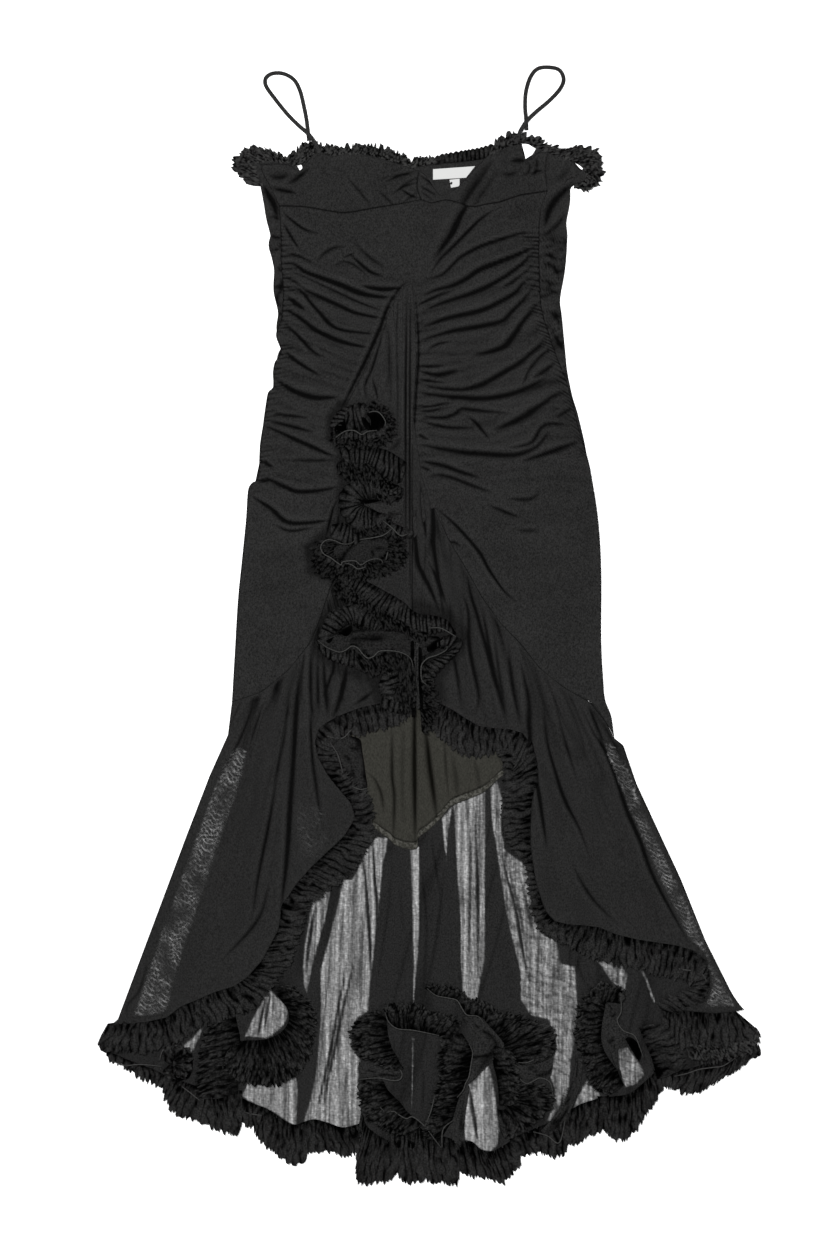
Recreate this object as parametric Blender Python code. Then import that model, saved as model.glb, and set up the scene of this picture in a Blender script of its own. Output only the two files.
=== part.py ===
"""A high-low dress in black stretch jersey and sheer mesh, laid flat on its back and face up.

+Y is the neck, +X is the right side as one looks down on the front, and z = 0 is the surface it lies on.
Every panel is a wall of cloth. Panels lie on each other in levels, and seams are small gaps between them.
The tables give places in photograph pixels: x to the right, y down. Widths and heights are in millimetres.
"""

from collections import namedtuple

import bpy
import numpy as np
from mathutils.geometry import delaunay_2d_cdt

MM = 0.001

# Driving sizes, in metres.
DRESS_LENGTH = 1.4025
CLOTH = 1.2 * MM
BACK_CLOTH = 1.0 * MM
RUFFLE_CLOTH = 1.0 * MM
STRAP_WIDTH = 6.0 * MM
STRAP_CLOTH = 1.2 * MM
LABEL_CLOTH = 0.4 * MM
SEAM_GAP = 0.3 * MM

# The levels that the layers lie at, from the floor up, in metres.
FLOOR_LEVEL = 0.0
TRAIN_TOP_LEVEL = BACK_CLOTH + SEAM_GAP
FRONT_LEVEL = 2.0 * MM
FLOUNCE_LEVEL = FRONT_LEVEL + CLOTH + SEAM_GAP
CASCADE_LEVEL = FLOUNCE_LEVEL + CLOTH + SEAM_GAP
HEM_RUFFLE_LEVEL = TRAIN_TOP_LEVEL + CLOTH + SEAM_GAP

# The photograph's frame: the strap's top row, the hem's lowest row, and the outermost columns.
TOP_ROW, BOTTOM_ROW = 65.0, 1187.0
LEFT_COLUMN, RIGHT_COLUMN = 97.0, 762.0
PIXEL = DRESS_LENGTH / (BOTTOM_ROW - TOP_ROW)

OUTLINE_STEP = 14.0
CLEAR_OF_EDGE = 2.0
CLEAR_OF_POINT = 2.2
BORDER_STEP = 12.0
CREST = 0.38
WAVE_STEPS = 4

# A ruched crease: its three points, the width of the roll above it, and the roll's height.
Crease = namedtuple("Crease", "x0 y0 x1 y1 x2 y2 roll_mm height_mm")
# A ruffle's section: a point of its stitched edge and the point of its free edge across from it.
Section = namedtuple("Section", "stitched_x stitched_y free_x free_y")
Ruffle = namedtuple("Ruffle", "waves sections")
# A strap's point, and how high its underside lies there.
StrapPoint = namedtuple("StrapPoint", "x y height")


# Lines and places

def metres(points):
    """Photograph pixels as metres from the middle of the dress's own box, with y turned up."""
    points = np.asarray(points, float)
    middle = ((LEFT_COLUMN + RIGHT_COLUMN) / 2, (TOP_ROW + BOTTOM_ROW) / 2)
    return (points[:, :2] - middle) * (PIXEL, -PIXEL)


def smooth_rows(rows, at):
    """Catmull-Rom: a cubic through every row, read at fractional row numbers."""
    rows = np.asarray(rows, float)
    last = len(rows) - 1
    first = np.clip(np.floor(at).astype(int), 0, last - 1)
    t = (at - first)[:, None]
    before, after = np.maximum(first - 1, 0), np.minimum(first + 2, last)
    a, b, c, d = rows[before], rows[first], rows[first + 1], rows[after]
    return 0.5 * (2 * b + (c - a) * t + (2 * a - 5 * b + 4 * c - d) * t**2 + (3 * b - a - 3 * c + d) * t**3)


def smooth_line(points, step=OUTLINE_STEP):
    """A smooth line through the points, which keeps every one of them and adds some on long stretches."""
    points = np.asarray(points, float)
    lengths = np.linalg.norm(np.diff(points, axis=0), axis=1)
    at = [i + np.arange(n) / n for i, n in enumerate(np.maximum(1, np.round(lengths / step)).astype(int))]
    return smooth_rows(points, np.append(np.concatenate(at), len(points) - 1))


def ruffle_edges(strip):
    """The stitched and the free edge, with WAVE_STEPS stations to a wave,
     evenly spaced along the middle."""
    rows = np.asarray(strip.sections, float)
    fine = np.linspace(0, len(rows) - 1, 40 * len(rows))
    both = smooth_rows(rows, fine)
    middle = (both[:, :2] + both[:, 2:]) / 2
    along = np.append(0, np.cumsum(np.linalg.norm(np.diff(middle, axis=0), axis=1)))
    at = np.interp(np.linspace(0, along[-1], strip.waves * WAVE_STEPS + 1), along, fine)
    both = smooth_rows(rows, at)
    return both[:, :2], both[:, 2:]


def closed_outline(edges):
    """The edges one after the other as one closed outline, with the corners that they share kept once."""
    outline = np.concatenate(edges)
    return outline[np.linalg.norm(outline - np.roll(outline, 1, axis=0), axis=1) > 0.3]


def inset(outline, distance):
    """Each corner of a closed outline moved inwards, along the mean of its two sides' normals."""
    side = np.roll(outline, -1, axis=0) - outline
    area = (outline[:, 0] * np.roll(outline[:, 1], -1) - outline[:, 1] * np.roll(outline[:, 0], -1)).sum()
    normal = np.stack([-side[:, 1], side[:, 0]], axis=1) * np.sign(area)
    normal /= np.linalg.norm(normal, axis=1)[:, None]
    mean = normal + np.roll(normal, 1, axis=0)
    return outline + distance * mean / np.maximum((mean**2).sum(axis=1) / 2, 0.6)[:, None]


def edge_distance(points, outline):
    """How far each point lies inside the outline, negative outside: the nearest side's distance."""
    a, b = outline, np.roll(outline, -1, axis=0)
    along = b - a
    rest = points[:, None] - a
    t = np.clip((rest * along).sum(axis=2) / (along**2).sum(axis=1), 0, 1)
    away = np.linalg.norm(rest - t[..., None] * along, axis=2).min(axis=1)
    crosses = (a[:, 1] > points[:, None, 1]) != (b[:, 1] > points[:, None, 1])
    rise = np.where(along[:, 1] == 0, 1, along[:, 1])
    left_of = points[:, None, 0] < a[:, 0] + (points[:, None, 1] - a[:, 1]) * along[:, 0] / rise
    return np.where((crosses & left_of).sum(axis=1) % 2 == 1, away, -away)


# Folds

def crease_lines(crease):
    """The crease, the crest of the roll above it and the roll's far foot, as three lines of points."""
    start, middle, end = np.reshape(crease[:6], (3, 2)).astype(float)
    roll = crease.roll_mm * MM / PIXEL
    length = np.linalg.norm(end - start)
    t = np.linspace(0, 1, max(4, int(length / (1.6 * roll)) + 2))[:, None]
    bow = 2 * middle - (start + end) / 2
    line = (1 - t) ** 2 * start + 2 * t * (1 - t) * bow + t**2 * end
    run = 2 * (1 - t) * (bow - start) + 2 * t * (end - bow)
    normal = np.stack([-run[:, 1], run[:, 0]], axis=1) / np.linalg.norm(run, axis=1)[:, None]
    normal *= np.where(normal.sum(axis=1) > 0, -1, 1)[:, None]
    return line, line + CREST * roll * normal, line + roll * normal


def lift_of(points, creases):
    """The height that the rolls add: each rises from its crease to its crest and falls to its far foot,
    and swells along its length as the square root of a sine. Where rolls meet, the higher one counts."""
    lift = np.zeros(len(points))
    for crease in creases:
        line = crease_lines(crease)[0]
        roll = crease.roll_mm * MM / PIXEL
        a, along = line[:-1], np.diff(line, axis=0)
        rest = points[:, None] - a
        t = np.clip((rest * along).sum(axis=2) / (along**2).sum(axis=1), 0, 1)
        gap = rest - t[..., None] * along
        near = np.linalg.norm(gap, axis=2).argmin(axis=1)
        row = np.arange(len(points))
        normal = np.stack([-along[:, 1], along[:, 0]], axis=1)
        normal /= np.linalg.norm(normal, axis=1)[:, None]
        normal *= np.where(normal.sum(axis=1) > 0, -1, 1)[:, None]
        across = (gap[row, near] * normal[near]).sum(axis=1) / roll
        aside = np.linalg.norm(gap[row, near], axis=1) / roll - np.abs(across)
        share = (near + t[row, near]) / len(along)
        tent = np.minimum(across / CREST, (1 - across) / (1 - CREST))
        swell = np.sqrt(np.sin(np.pi * np.clip(share, 0, 1)))
        height = crease.height_mm * MM * np.clip(tent, 0, 1) * swell * (aside < 0.2)
        lift = np.maximum(lift, height)
    return lift


def inner_points(outline, covers, creases):
    """The points inside a panel, and the pairs of them that edges must join. Around each cover runs a
    border, along which the panel is flat, and the creases' points stay clear of it and of each other."""
    points, pairs = np.zeros((0, 2)), []
    for cover in covers:
        border = smooth_line(inset(cover, -CLEAR_OF_EDGE), BORDER_STEP)
        inside = np.flatnonzero(edge_distance(border, outline) > CLEAR_OF_EDGE / 2)
        pairs += [(len(points) + i, len(points) + i + 1) for i in np.flatnonzero(np.diff(inside) == 1)]
        points = np.vstack([points, border[inside]])
    for line in (line for crease in creases for line in crease_lines(crease)):
        for point in line[edge_distance(line, outline) > CLEAR_OF_EDGE]:
            if len(points) == 0 or np.linalg.norm(points - point, axis=1).min() > CLEAR_OF_POINT:
                points = np.vstack([points, point])
    return points, pairs


# Solids

def make_object(name, points, faces, material):
    mesh = bpy.data.meshes.new(name)
    mesh.from_pydata([tuple(map(float, p)) for p in points], [], [tuple(map(int, f)) for f in faces])
    mesh.materials.append(material)
    mesh.validate()
    thing = bpy.data.objects.new(name, mesh)
    bpy.context.collection.objects.link(thing)
    return thing


def wall(name, flat, triangles, low, high, material):
    """A closed wall over flat triangles: the same ones as top and underside, and a rim between them."""
    place = metres(flat)
    count = len(flat)
    a, b, c = (place[triangles[:, i]] for i in range(3))
    turn = (b - a)[:, 0] * (c - a)[:, 1] - (b - a)[:, 1] * (c - a)[:, 0]
    triangles = np.where((turn < 0)[:, None], triangles[:, ::-1], triangles)
    sides = {(int(a), int(b)) for t in triangles for a, b in zip(t, np.roll(t, -1))}
    rim = [(a, b) for a, b in sides if (b, a) not in sides]
    faces = [tuple(t + count) for t in triangles] + [tuple(t[::-1]) for t in triangles]
    faces += [(a, b, b + count, a + count) for a, b in sorted(rim)]
    points = np.vstack([np.column_stack([place, low]), np.column_stack([place, high])])
    return make_object(name, points, faces, material)


def panel(name, edges, level, material, creases=(), flat_under=(), cloth=CLOTH, on_floor=False):
    """A cut piece that lies at a level. Its outline is the edges one after the other, its folds are the
    creases' rolls, and it is flat along and inside flat_under, the outlines of what lies on it."""
    outline = inset(closed_outline(edges), SEAM_GAP / 2 / PIXEL)
    covers = [closed_outline(cover) for cover in flat_under]
    inner, pairs = inner_points(outline, covers, creases)
    count = len(outline)
    corners = [tuple(p) for p in np.vstack([outline, inner])]
    pairs = [(count + i, count + j) for i, j in pairs]
    found = delaunay_2d_cdt(corners, pairs, [list(range(count))], 1, 1e-3)
    flat = np.array([tuple(p) for p in found[0]])
    lift = lift_of(flat, creases)
    for cover in covers:
        lift[edge_distance(flat, cover) > -1.2 * CLEAR_OF_EDGE] = 0
    low = np.full(len(flat), level) if on_floor else level + lift
    return wall(name, flat, np.array(found[2]), low, level + lift + cloth, material)


def ruffle(name, strip, height_mm, level, material):
    """A gathered strip: flat along its stitched edge, and waving up along its free edge as 1 - cosine."""
    stitched, free = ruffle_edges(strip)
    across = free - stitched
    across /= np.linalg.norm(across, axis=1)[:, None]
    stitched = stitched + across * SEAM_GAP / PIXEL
    count = len(stitched)
    wave = 0.5 - 0.5 * np.cos(2 * np.pi * np.arange(count) / WAVE_STEPS)
    lift = np.concatenate([np.zeros(count), height_mm * MM * wave])
    step = np.arange(count - 1)
    quads = np.column_stack([step, step + 1, step + 1 + count, step + count])
    triangles = np.vstack([quads[:, [0, 1, 2]], quads[:, [0, 2, 3]]])
    flat = np.vstack([stitched, free])
    return wall(name, flat, triangles, level + lift, level + lift + RUFFLE_CLOTH, material)


def strap(name, route, material):
    """A flat band along a smooth route, half its width to each side, which passes over itself once."""
    line = smooth_line(route, 7.0)
    run = np.gradient(line[:, :2], axis=0)
    side = np.stack([-run[:, 1], run[:, 0]], axis=1) / np.linalg.norm(run, axis=1)[:, None]
    half = STRAP_WIDTH / 2 / PIXEL
    flat = np.vstack([line[:, :2] - half * side, line[:, :2] + half * side])
    count = len(line)
    step = np.arange(count - 1)
    quads = np.column_stack([step, step + count, step + 1 + count, step + 1])
    triangles = np.vstack([quads[:, [0, 1, 2]], quads[:, [0, 2, 3]]])
    low = np.tile(np.maximum(line[:, 2], 0), 2) * MM
    return wall(name, flat, triangles, low, low + STRAP_CLOTH, material)


def finish(name, colour, roughness, alpha=1.0):
    material = bpy.data.materials.new(name)
    material.use_nodes = True
    shader = material.node_tree.nodes["Principled BSDF"]
    shader.inputs["Base Color"].default_value = (*colour, 1)
    shader.inputs["Roughness"].default_value = roughness
    shader.inputs["Metallic"].default_value = 0
    shader.inputs["Alpha"].default_value = alpha
    return material


for thing in list(bpy.data.objects):
    bpy.data.objects.remove(thing, do_unlink=True)

JERSEY = finish("black_jersey", (0.022, 0.022, 0.022), 0.85)
MESH = finish("black_mesh", (0.02, 0.02, 0.02), 0.8, 0.6)
LINING = finish("olive_lining", (0.038, 0.036, 0.027), 0.8)
WHITE = finish("white_label", (0.85, 0.85, 0.84), 0.6)

# The ruffles' sections come first, because the panels' edges are the ruffles' stitched edges.

NECK_LEFT = Ruffle(
    14,
    [
        Section(258, 177, 248, 181),
        Section(255, 172, 237, 173),
        Section(255, 166, 233, 164),
        Section(259, 162, 241, 154),
        Section(265, 161, 253, 148),
        Section(272, 162, 266, 149),
        Section(280, 163, 277, 155),
        Section(289, 164, 287, 158),
        Section(297, 163, 294, 152),
        Section(304, 159, 302, 146),
        Section(312, 156, 312, 144),
        Section(328, 157, 328, 146),
        Section(345, 158, 345, 147),
        Section(360, 157, 360, 144),
        Section(378, 159, 380, 148),
        Section(395, 163, 397, 153),
        Section(408, 167, 408, 158),
        Section(413, 168, 412, 161),
        Section(418, 166, 418, 157),
        Section(440, 163, 440, 156),
        Section(460, 161, 460, 152.5),
        Section(480, 159, 480, 149),
        Section(495, 154, 493, 145),
        Section(505, 148, 503, 137),
        Section(517, 144, 515, 133),
    ],
)
NECK_ARMHOLE = Ruffle(
    2,
    [
        Section(517, 144, 515, 133),
        Section(526, 143, 530, 135.5),
        Section(534, 147, 543, 142),
        Section(542, 151, 553, 145),
    ],
)
NECK_RIGHT = Ruffle(
    4,
    [
        Section(542, 151, 553, 145),
        Section(552, 153, 565, 150),
        Section(562, 157, 574, 148),
        Section(571, 161, 586, 146),
        Section(579, 165, 598, 153),
        Section(585, 170, 602, 165),
        Section(588, 175, 600, 180),
        Section(584, 181, 590, 189),
        Section(577, 184, 577, 190),
    ],
)
HEM_LEFT = Ruffle(
    14,
    [
        Section(411, 696, 413, 712),
        Section(395, 701, 402, 722),
        Section(378, 704, 385, 729),
        Section(360, 708, 366, 733),
        Section(345, 714, 350, 736),
        Section(330, 721, 338, 739),
        Section(319, 729, 333, 742),
        Section(316, 742, 334, 749),
        Section(319, 758, 339, 759),
        Section(328, 774, 344, 769),
        Section(341, 790, 354, 781),
        Section(352, 803, 370, 796),
        Section(356, 818, 374, 818),
        Section(345, 836, 370, 842),
        Section(330, 850, 358, 864),
        Section(312, 867, 344, 880),
        Section(297, 884, 325, 893),
        Section(284, 905, 309, 908),
        Section(279, 930, 301, 932),
        Section(263, 960, 292, 958),
        Section(248, 977, 272, 987),
        Section(235, 986, 254, 1008),
        Section(215, 992, 226, 1018),
        Section(197, 1000, 205, 1024),
        Section(182, 1006, 189, 1035),
        Section(168, 1017, 172, 1044),
        Section(150, 1021, 149, 1051),
        Section(130, 1021, 122, 1051),
        Section(111, 1025, 97, 1048),
    ],
)
HEM_RIGHT = Ruffle(
    8,
    [
        Section(438, 703, 427, 722),
        Section(452, 710, 442, 740),
        Section(464, 718, 457, 752),
        Section(478, 726, 474, 757),
        Section(492, 729, 491, 755),
        Section(508, 728, 504, 751),
        Section(522, 733, 511, 760),
        Section(531, 745, 514, 768),
        Section(536, 762, 512, 776),
        Section(536, 782, 506, 788),
        Section(531, 803, 503, 806),
        Section(530, 825, 503, 828),
        Section(530, 845, 512, 847),
        Section(532, 862, 525, 863),
        Section(535, 880, 528, 882),
        Section(539.7, 897.2, 530.7, 900.2),
    ],
)
HEM_RIGHT_LOW = Ruffle(
    6,
    [
        Section(540, 898, 531, 901),
        Section(545, 911, 534, 916),
        Section(554, 921, 542, 929),
        Section(567, 926, 556, 940),
        Section(582, 924, 574, 948),
        Section(598, 926, 590, 956),
        Section(615, 934, 610, 963),
        Section(635, 939, 634, 967),
        Section(655, 942, 653, 973),
        Section(675, 945, 670, 977),
        Section(692, 950, 684, 980),
        Section(705, 960, 693, 984),
    ],
)
HEM_RIGHT_CURL = Ruffle(
    2,
    [
        Section(709, 975, 698, 982),
        Section(709, 988, 694, 988),
        Section(702, 1003, 687, 992),
        Section(688, 1009, 676, 995),
        Section(672, 1011, 660, 999),
    ],
)
HEM_RIGHT_CORNER = Ruffle(
    3,
    [
        Section(666, 1015, 663, 1030),
        Section(682, 1013, 682, 1046),
        Section(702, 1012, 702, 1044),
        Section(722, 1012, 722, 1046),
        Section(735, 1012, 741, 1043),
        Section(744, 1015, 762, 1041),
    ],
)

# The edges that panels share.

LEFT_PEAK, RIGHT_PEAK, TIP = (319, 150), (517, 139.5), (412, 284)
CUP_TOP_LEFT = smooth_line(
    [(261, 165), (270, 164), (281, 164.5), (290, 166), (296, 171), (301, 172), (306, 167), (312, 158),
     LEFT_PEAK]
)
CUP_INNER_LEFT = smooth_line(
    [LEFT_PEAK, (325, 154), (335, 155.5), (347, 153), (358, 152.5), (372, 156), (390, 161), (405, 166),
     (419, 171)]
)
CENTRE_FRONT = smooth_line([(419, 171), (417, 186), (421, 200)])
CENTRE_GATHER = smooth_line([(419, 171), (429, 173), (436, 180), (440, 188), (441, 196)])
CUP_TOP_RIGHT = smooth_line(
    [(441, 196), (452, 187), (465, 175.5), (478, 162.5), (490, 152.5), (500, 145.5), (509, 141.5),
     RIGHT_PEAK]
)
CUP_ARM_RIGHT = smooth_line([RIGHT_PEAK, (521.5, 144), (524, 151), (524.5, 158)])
CUP_OUTER_RIGHT = smooth_line(
    [(524.5, 158), (528, 160), (532, 159), (537, 153.5), (541, 152), (548, 152.5)]
)
BUST_SEAM_LEFT = smooth_line(
    [(279, 206), (305, 207), (335, 212), (350, 212.5), (375, 208), (400, 204), (421, 200)]
)
BUST_SEAM_RIGHT = smooth_line(
    [(421, 200), (432, 203), (445, 200), (456, 202), (466, 205.5), (475, 206.5), (488, 204), (500, 202),
     (520, 195.5), (535, 193), (548, 191)]
)
BUST_SIDE_LEFT = smooth_line([(261, 165), (262, 172), (271, 189), (279, 206)])
BUST_SIDE_RIGHT = smooth_line([(548, 152.5), (546, 165), (546, 178), (548, 191)])
SIDE_LEFT = smooth_line([(279, 206), (281, 240), (281, 260), (283, 285), (283, 300), (281, 320)])
HIP_LEFT = smooth_line(
    [(281, 320), (276, 335), (281, 352), (275, 362), (273, 372), (273, 387), (268, 393), (265, 410),
     (263, 425), (260, 445), (258, 477), (252, 483), (248, 491), (246, 520), (242, 560), (238, 600),
     (235, 650), (232, 702)]
)
SIDE_RIGHT = smooth_line(
    [(548, 191), (544, 202), (541, 212), (539, 240), (540, 290), (542, 310), (549, 335), (556, 355),
     (564, 375), (572, 400), (579, 430), (588, 460)]
)
HIP_RIGHT = smooth_line(
    [(588, 460), (592, 480), (598, 520), (601, 570), (601, 640), (603, 680), (605, 700), (611, 716),
     (614, 738)]
)
YOKE_LEFT = smooth_line(
    [(232, 702), (261, 692), (288, 670), (309, 644), (318, 624), (326, 600), (332, 584), (345, 572)]
)
YOKE_CENTRE = smooth_line([(345, 572), (370, 560), (412, 540)])
YOKE_RIGHT = smooth_line(
    [(434, 508), (449, 540), (467, 570), (482, 597), (500, 622), (520, 643), (540, 668), (565, 688),
     (590, 702), (606, 722), (614, 738)]
)
FAN_EDGE = smooth_line([(413, 415), (417, 440), (421, 468), (427, 488), (434, 508)])
DRAPE_LEFT = smooth_line(
    [TIP, (405, 287), (396, 299), (389, 313), (383, 330), (371, 357), (357, 385), (344, 413)]
)
DRAPE_HIDDEN = smooth_line([(344, 413), (346, 440), (352, 480), (356, 520), (352, 550), (352, 576)])
DRAPE_BOTTOM = smooth_line([(352, 576), (368, 590), (390, 602), (412, 612)])
DRAPE_RIGHT = smooth_line([TIP, (414, 300), (416.5, 340), (416.5, 360), (414, 400), (413, 415)])
CENTRE_LINE = smooth_line([(413, 415), (412, 470), (412, 540), (412, 612)])
SLIT_LEFT = smooth_line([(412, 612), (413, 640), (413, 670), (411, 696)])
SLIT_RIGHT = smooth_line([(412, 612), (416, 640), (420, 668), (423, 690), (438, 703)])
FLOUNCE_SIDE_LEFT = smooth_line(
    [(232, 702), (228, 735), (210, 775), (185, 840), (155, 920), (118, 1019), (111, 1025)]
)
FLOUNCE_SIDE_RIGHT = smooth_line(
    [(614, 738), (623, 745), (636, 783), (655, 824), (681, 880), (705, 940), (730, 990), (744, 1015)]
)
NECK_EDGE_LEFT = ruffle_edges(NECK_LEFT)[0]
NECK_EDGE_RIGHT = ruffle_edges(NECK_RIGHT)[0]

FRONT_CREASES = [
    Crease(283, 262, 340, 289, 398, 297, 13, 4.0),
    Crease(364, 284, 385, 289, 402, 289, 7, 3.0),
    Crease(283, 281, 330, 303, 380, 320, 10, 3.0),
    Crease(283, 289, 318, 311, 378, 335, 9, 3.0),
    Crease(284, 308, 320, 333, 372, 350, 12, 3.5),
    Crease(282, 349, 300, 364, 322, 377, 9, 2.5),
    Crease(276, 379, 305, 396, 340, 397, 15, 3.0),
    Crease(264, 426, 300, 444, 340, 459, 11, 2.5),
    Crease(259, 476, 295, 491, 338, 485, 12, 2.5),
    Crease(249, 495, 285, 517, 332, 519, 13, 2.5),
    Crease(461, 212, 448, 242, 428, 270, 12, 3.0),
    Crease(500, 222, 468, 240, 438, 270, 8, 2.0),
    Crease(539, 246, 480, 276, 420, 299, 12, 4.0),
    Crease(539, 256, 490, 288, 418, 317, 11, 3.5),
    Crease(537, 291, 498, 323, 421, 341, 10, 3.0),
    Crease(539, 302, 515, 332, 475, 355, 10, 3.0),
    Crease(549, 334, 500, 376, 421, 383, 11, 3.0),
    Crease(548, 377, 490, 400, 418, 392, 11, 3.5),
    Crease(567, 390, 530, 412, 493, 431, 11, 2.5),
    Crease(422, 445, 480, 455, 550, 429, 13, 4.0),
    Crease(500, 449, 540, 436, 574, 426, 9, 2.5),
    Crease(580, 441, 550, 453, 520, 462, 10, 3.0),
    Crease(430, 477, 462, 482, 495, 494, 10, 2.5),
]
BUST_LEFT_CREASES = [
    Crease(352, 182, 362, 194, 372, 205, 6, 1.5),
    Crease(286, 180, 303, 176, 316, 163, 8, 1.8),
]
BUST_RIGHT_CREASES = [
    Crease(479, 172, 470, 187, 464, 202, 11, 2.5),
    Crease(500, 175, 515, 172, 530, 168, 9, 2.0),
]
BACK_CREASES = [
    Crease(556, 150, 541, 260, 566, 380, 24, 1.8),
    Crease(581, 176, 561, 190, 547, 209, 14, 1.8),
]
DRAPE_CREASES = [
    Crease(405.5, 296, 405.5, 400, 405, 500, 6, 3.0),
    Crease(411.5, 305, 411, 400, 410.5, 500, 5, 2.5),
    Crease(391, 322, 391, 380, 391, 438, 10, 3.0),
    Crease(384, 332, 370, 365, 366, 390, 10, 3.0),
]
FLOUNCE_RIGHT_CREASES = [
    Crease(421, 474, 432, 540, 444, 610, 10, 4.0),
    Crease(467, 576, 488, 655, 508, 724, 11, 4.0),
    Crease(472, 622, 472, 655, 478, 695, 8, 3.0),
    Crease(520, 662, 531, 705, 531, 740, 11, 4.0),
    Crease(534, 673, 552, 760, 549, 858, 13, 4.0),
    Crease(548, 735, 580, 820, 605, 900, 13, 3.0),
    Crease(588, 708, 640, 820, 694, 944, 13, 3.5),
]
FLOUNCE_LEFT_CREASES = [
    Crease(304, 653, 296, 760, 282, 900, 13, 4.0),
    Crease(311, 700, 316, 770, 325, 828, 9, 2.5),
    Crease(280, 760, 264, 850, 252, 924, 10, 2.5),
    Crease(349, 668, 342, 690, 333, 713, 9, 3.0),
    Crease(322, 660, 324, 690, 327, 714, 9, 3.0),
]
TRAIN_CREASES = [
    Crease(391, 850, 388, 920, 378, 996, 16, 1.6),
    Crease(441, 850, 441, 920, 432, 990, 16, 1.6),
    Crease(334, 895, 322, 1000, 300, 1110, 13, 1.6),
    Crease(350, 960, 336, 1035, 321, 1112, 7, 1.2),
    Crease(494, 850, 502, 930, 515, 995, 16, 1.6),
    Crease(524, 880, 537, 930, 545, 985, 8, 1.2),
]
LINING_CREASES = [
    Crease(415, 715, 415, 775, 415, 835, 7, 1.5),
    Crease(428, 736, 431, 775, 438, 814, 8, 1.5),
    Crease(392, 770, 393, 800, 392, 832, 8, 1.2),
]


# The back: the body from the neck to the yoke, and the sheer train below it.

BACK_SIDE_RIGHT = smooth_line(
    [(577, 184), (571, 187), (570, 208), (566, 225), (567, 240), (565, 275), (560, 300), (562, 320),
     (565, 350), (567, 370), (572, 395), (579, 415), (587, 450), (589, 480), (595, 520), (598, 570),
     (598, 640), (600, 700)]
)
BACK_SIDE_LEFT = smooth_line(
    [(235, 700), (238, 650), (241, 600), (245, 560), (249, 520), (251, 492), (260, 480), (263, 445),
     (266, 425), (271, 394), (276, 388), (279, 362), (284, 352), (279, 335), (281, 318), (277, 298),
     (279, 290), (277, 275), (273, 256), (275, 243), (272, 235), (267, 205), (261, 184), (258, 177)]
)
ARMHOLE = smooth_line(
    [(517, 144), (520, 150), (524, 158.5), (528, 161), (533, 160), (538, 154), (542, 151)]
)
panel(
    "back_body",
    [NECK_EDGE_LEFT, ARMHOLE, NECK_EDGE_RIGHT, BACK_SIDE_RIGHT, BACK_SIDE_LEFT],
    FLOOR_LEVEL,
    JERSEY,
    creases=BACK_CREASES,
    flat_under=[
        [CUP_TOP_LEFT, CUP_INNER_LEFT, CENTRE_GATHER, CUP_TOP_RIGHT, CUP_ARM_RIGHT, CUP_OUTER_RIGHT,
         BUST_SIDE_RIGHT, SIDE_RIGHT, HIP_RIGHT, YOKE_RIGHT[::-1], YOKE_LEFT[::-1], HIP_LEFT[::-1],
         SIDE_LEFT[::-1], BUST_SIDE_LEFT[::-1]]
    ],
    cloth=BACK_CLOTH,
    on_floor=True,
)

# The hem ruffles that lie on the floor beyond the train's edge, from left to right.
TRAIN_HEM = {
    "train_ruffle_left": Ruffle(
        3,
        [
            Section(166, 1082, 164, 1089),
            Section(177, 1087, 168, 1103),
            Section(188, 1092, 181, 1115),
            Section(200, 1100, 199, 1122),
            Section(215, 1103, 216, 1128),
            Section(228, 1102, 229, 1132),
            Section(239, 1099, 240, 1134),
        ],
    ),
    "train_ruffle_bottom_left": Ruffle(
        4,
        [
            Section(239.6, 1099.5, 240.6, 1124),
            Section(255, 1107, 251, 1127),
            Section(268, 1112, 262, 1141),
            Section(280, 1120, 276, 1153),
            Section(292, 1127, 291, 1162),
            Section(303, 1126, 306, 1164),
            Section(313, 1122, 313, 1152),
            Section(327, 1125, 331, 1152),
            Section(342, 1130, 350, 1155),
            Section(356, 1127, 359, 1147),
        ],
    ),
    "train_ruffle_bottom": Ruffle(
        3,
        [
            Section(358.5, 1127.5, 361, 1172),
            Section(380, 1143, 368, 1184),
            Section(400, 1149, 390, 1179),
            Section(420, 1150, 413, 1181),
            Section(440, 1149, 436, 1182),
            Section(455, 1144, 457, 1187),
        ],
    ),
    "train_ruffle_bottom_right": Ruffle(
        2,
        [
            Section(456.2, 1143.6, 457.8, 1172),
            Section(471, 1144, 474, 1175),
            Section(481, 1152, 490, 1178),
            Section(492, 1154, 503, 1181),
            Section(502, 1149, 514, 1172),
            Section(511, 1144, 522, 1157),
        ],
    ),
    "train_ruffle_right": Ruffle(
        5,
        [
            Section(512, 1143.2, 523.5, 1155),
            Section(535, 1132, 540, 1153),
            Section(552, 1125, 556, 1156),
            Section(566, 1117, 568, 1149),
            Section(578, 1108, 577, 1142),
            Section(592, 1103, 590, 1135),
            Section(603, 1099, 603, 1129),
            Section(615, 1099, 614, 1138),
            Section(630, 1096, 630, 1136),
            Section(644, 1085, 647, 1112),
            Section(656, 1074, 661, 1091),
        ],
    ),
    "train_ruffle_corner": Ruffle(
        3,
        [
            Section(657.5, 1074.3, 664, 1084),
            Section(685, 1073, 679, 1089),
            Section(705, 1068, 694, 1093),
            Section(725, 1063, 713, 1084),
            Section(742, 1057, 734, 1071),
            Section(754, 1049, 758, 1052),
        ],
    ),
}
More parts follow.
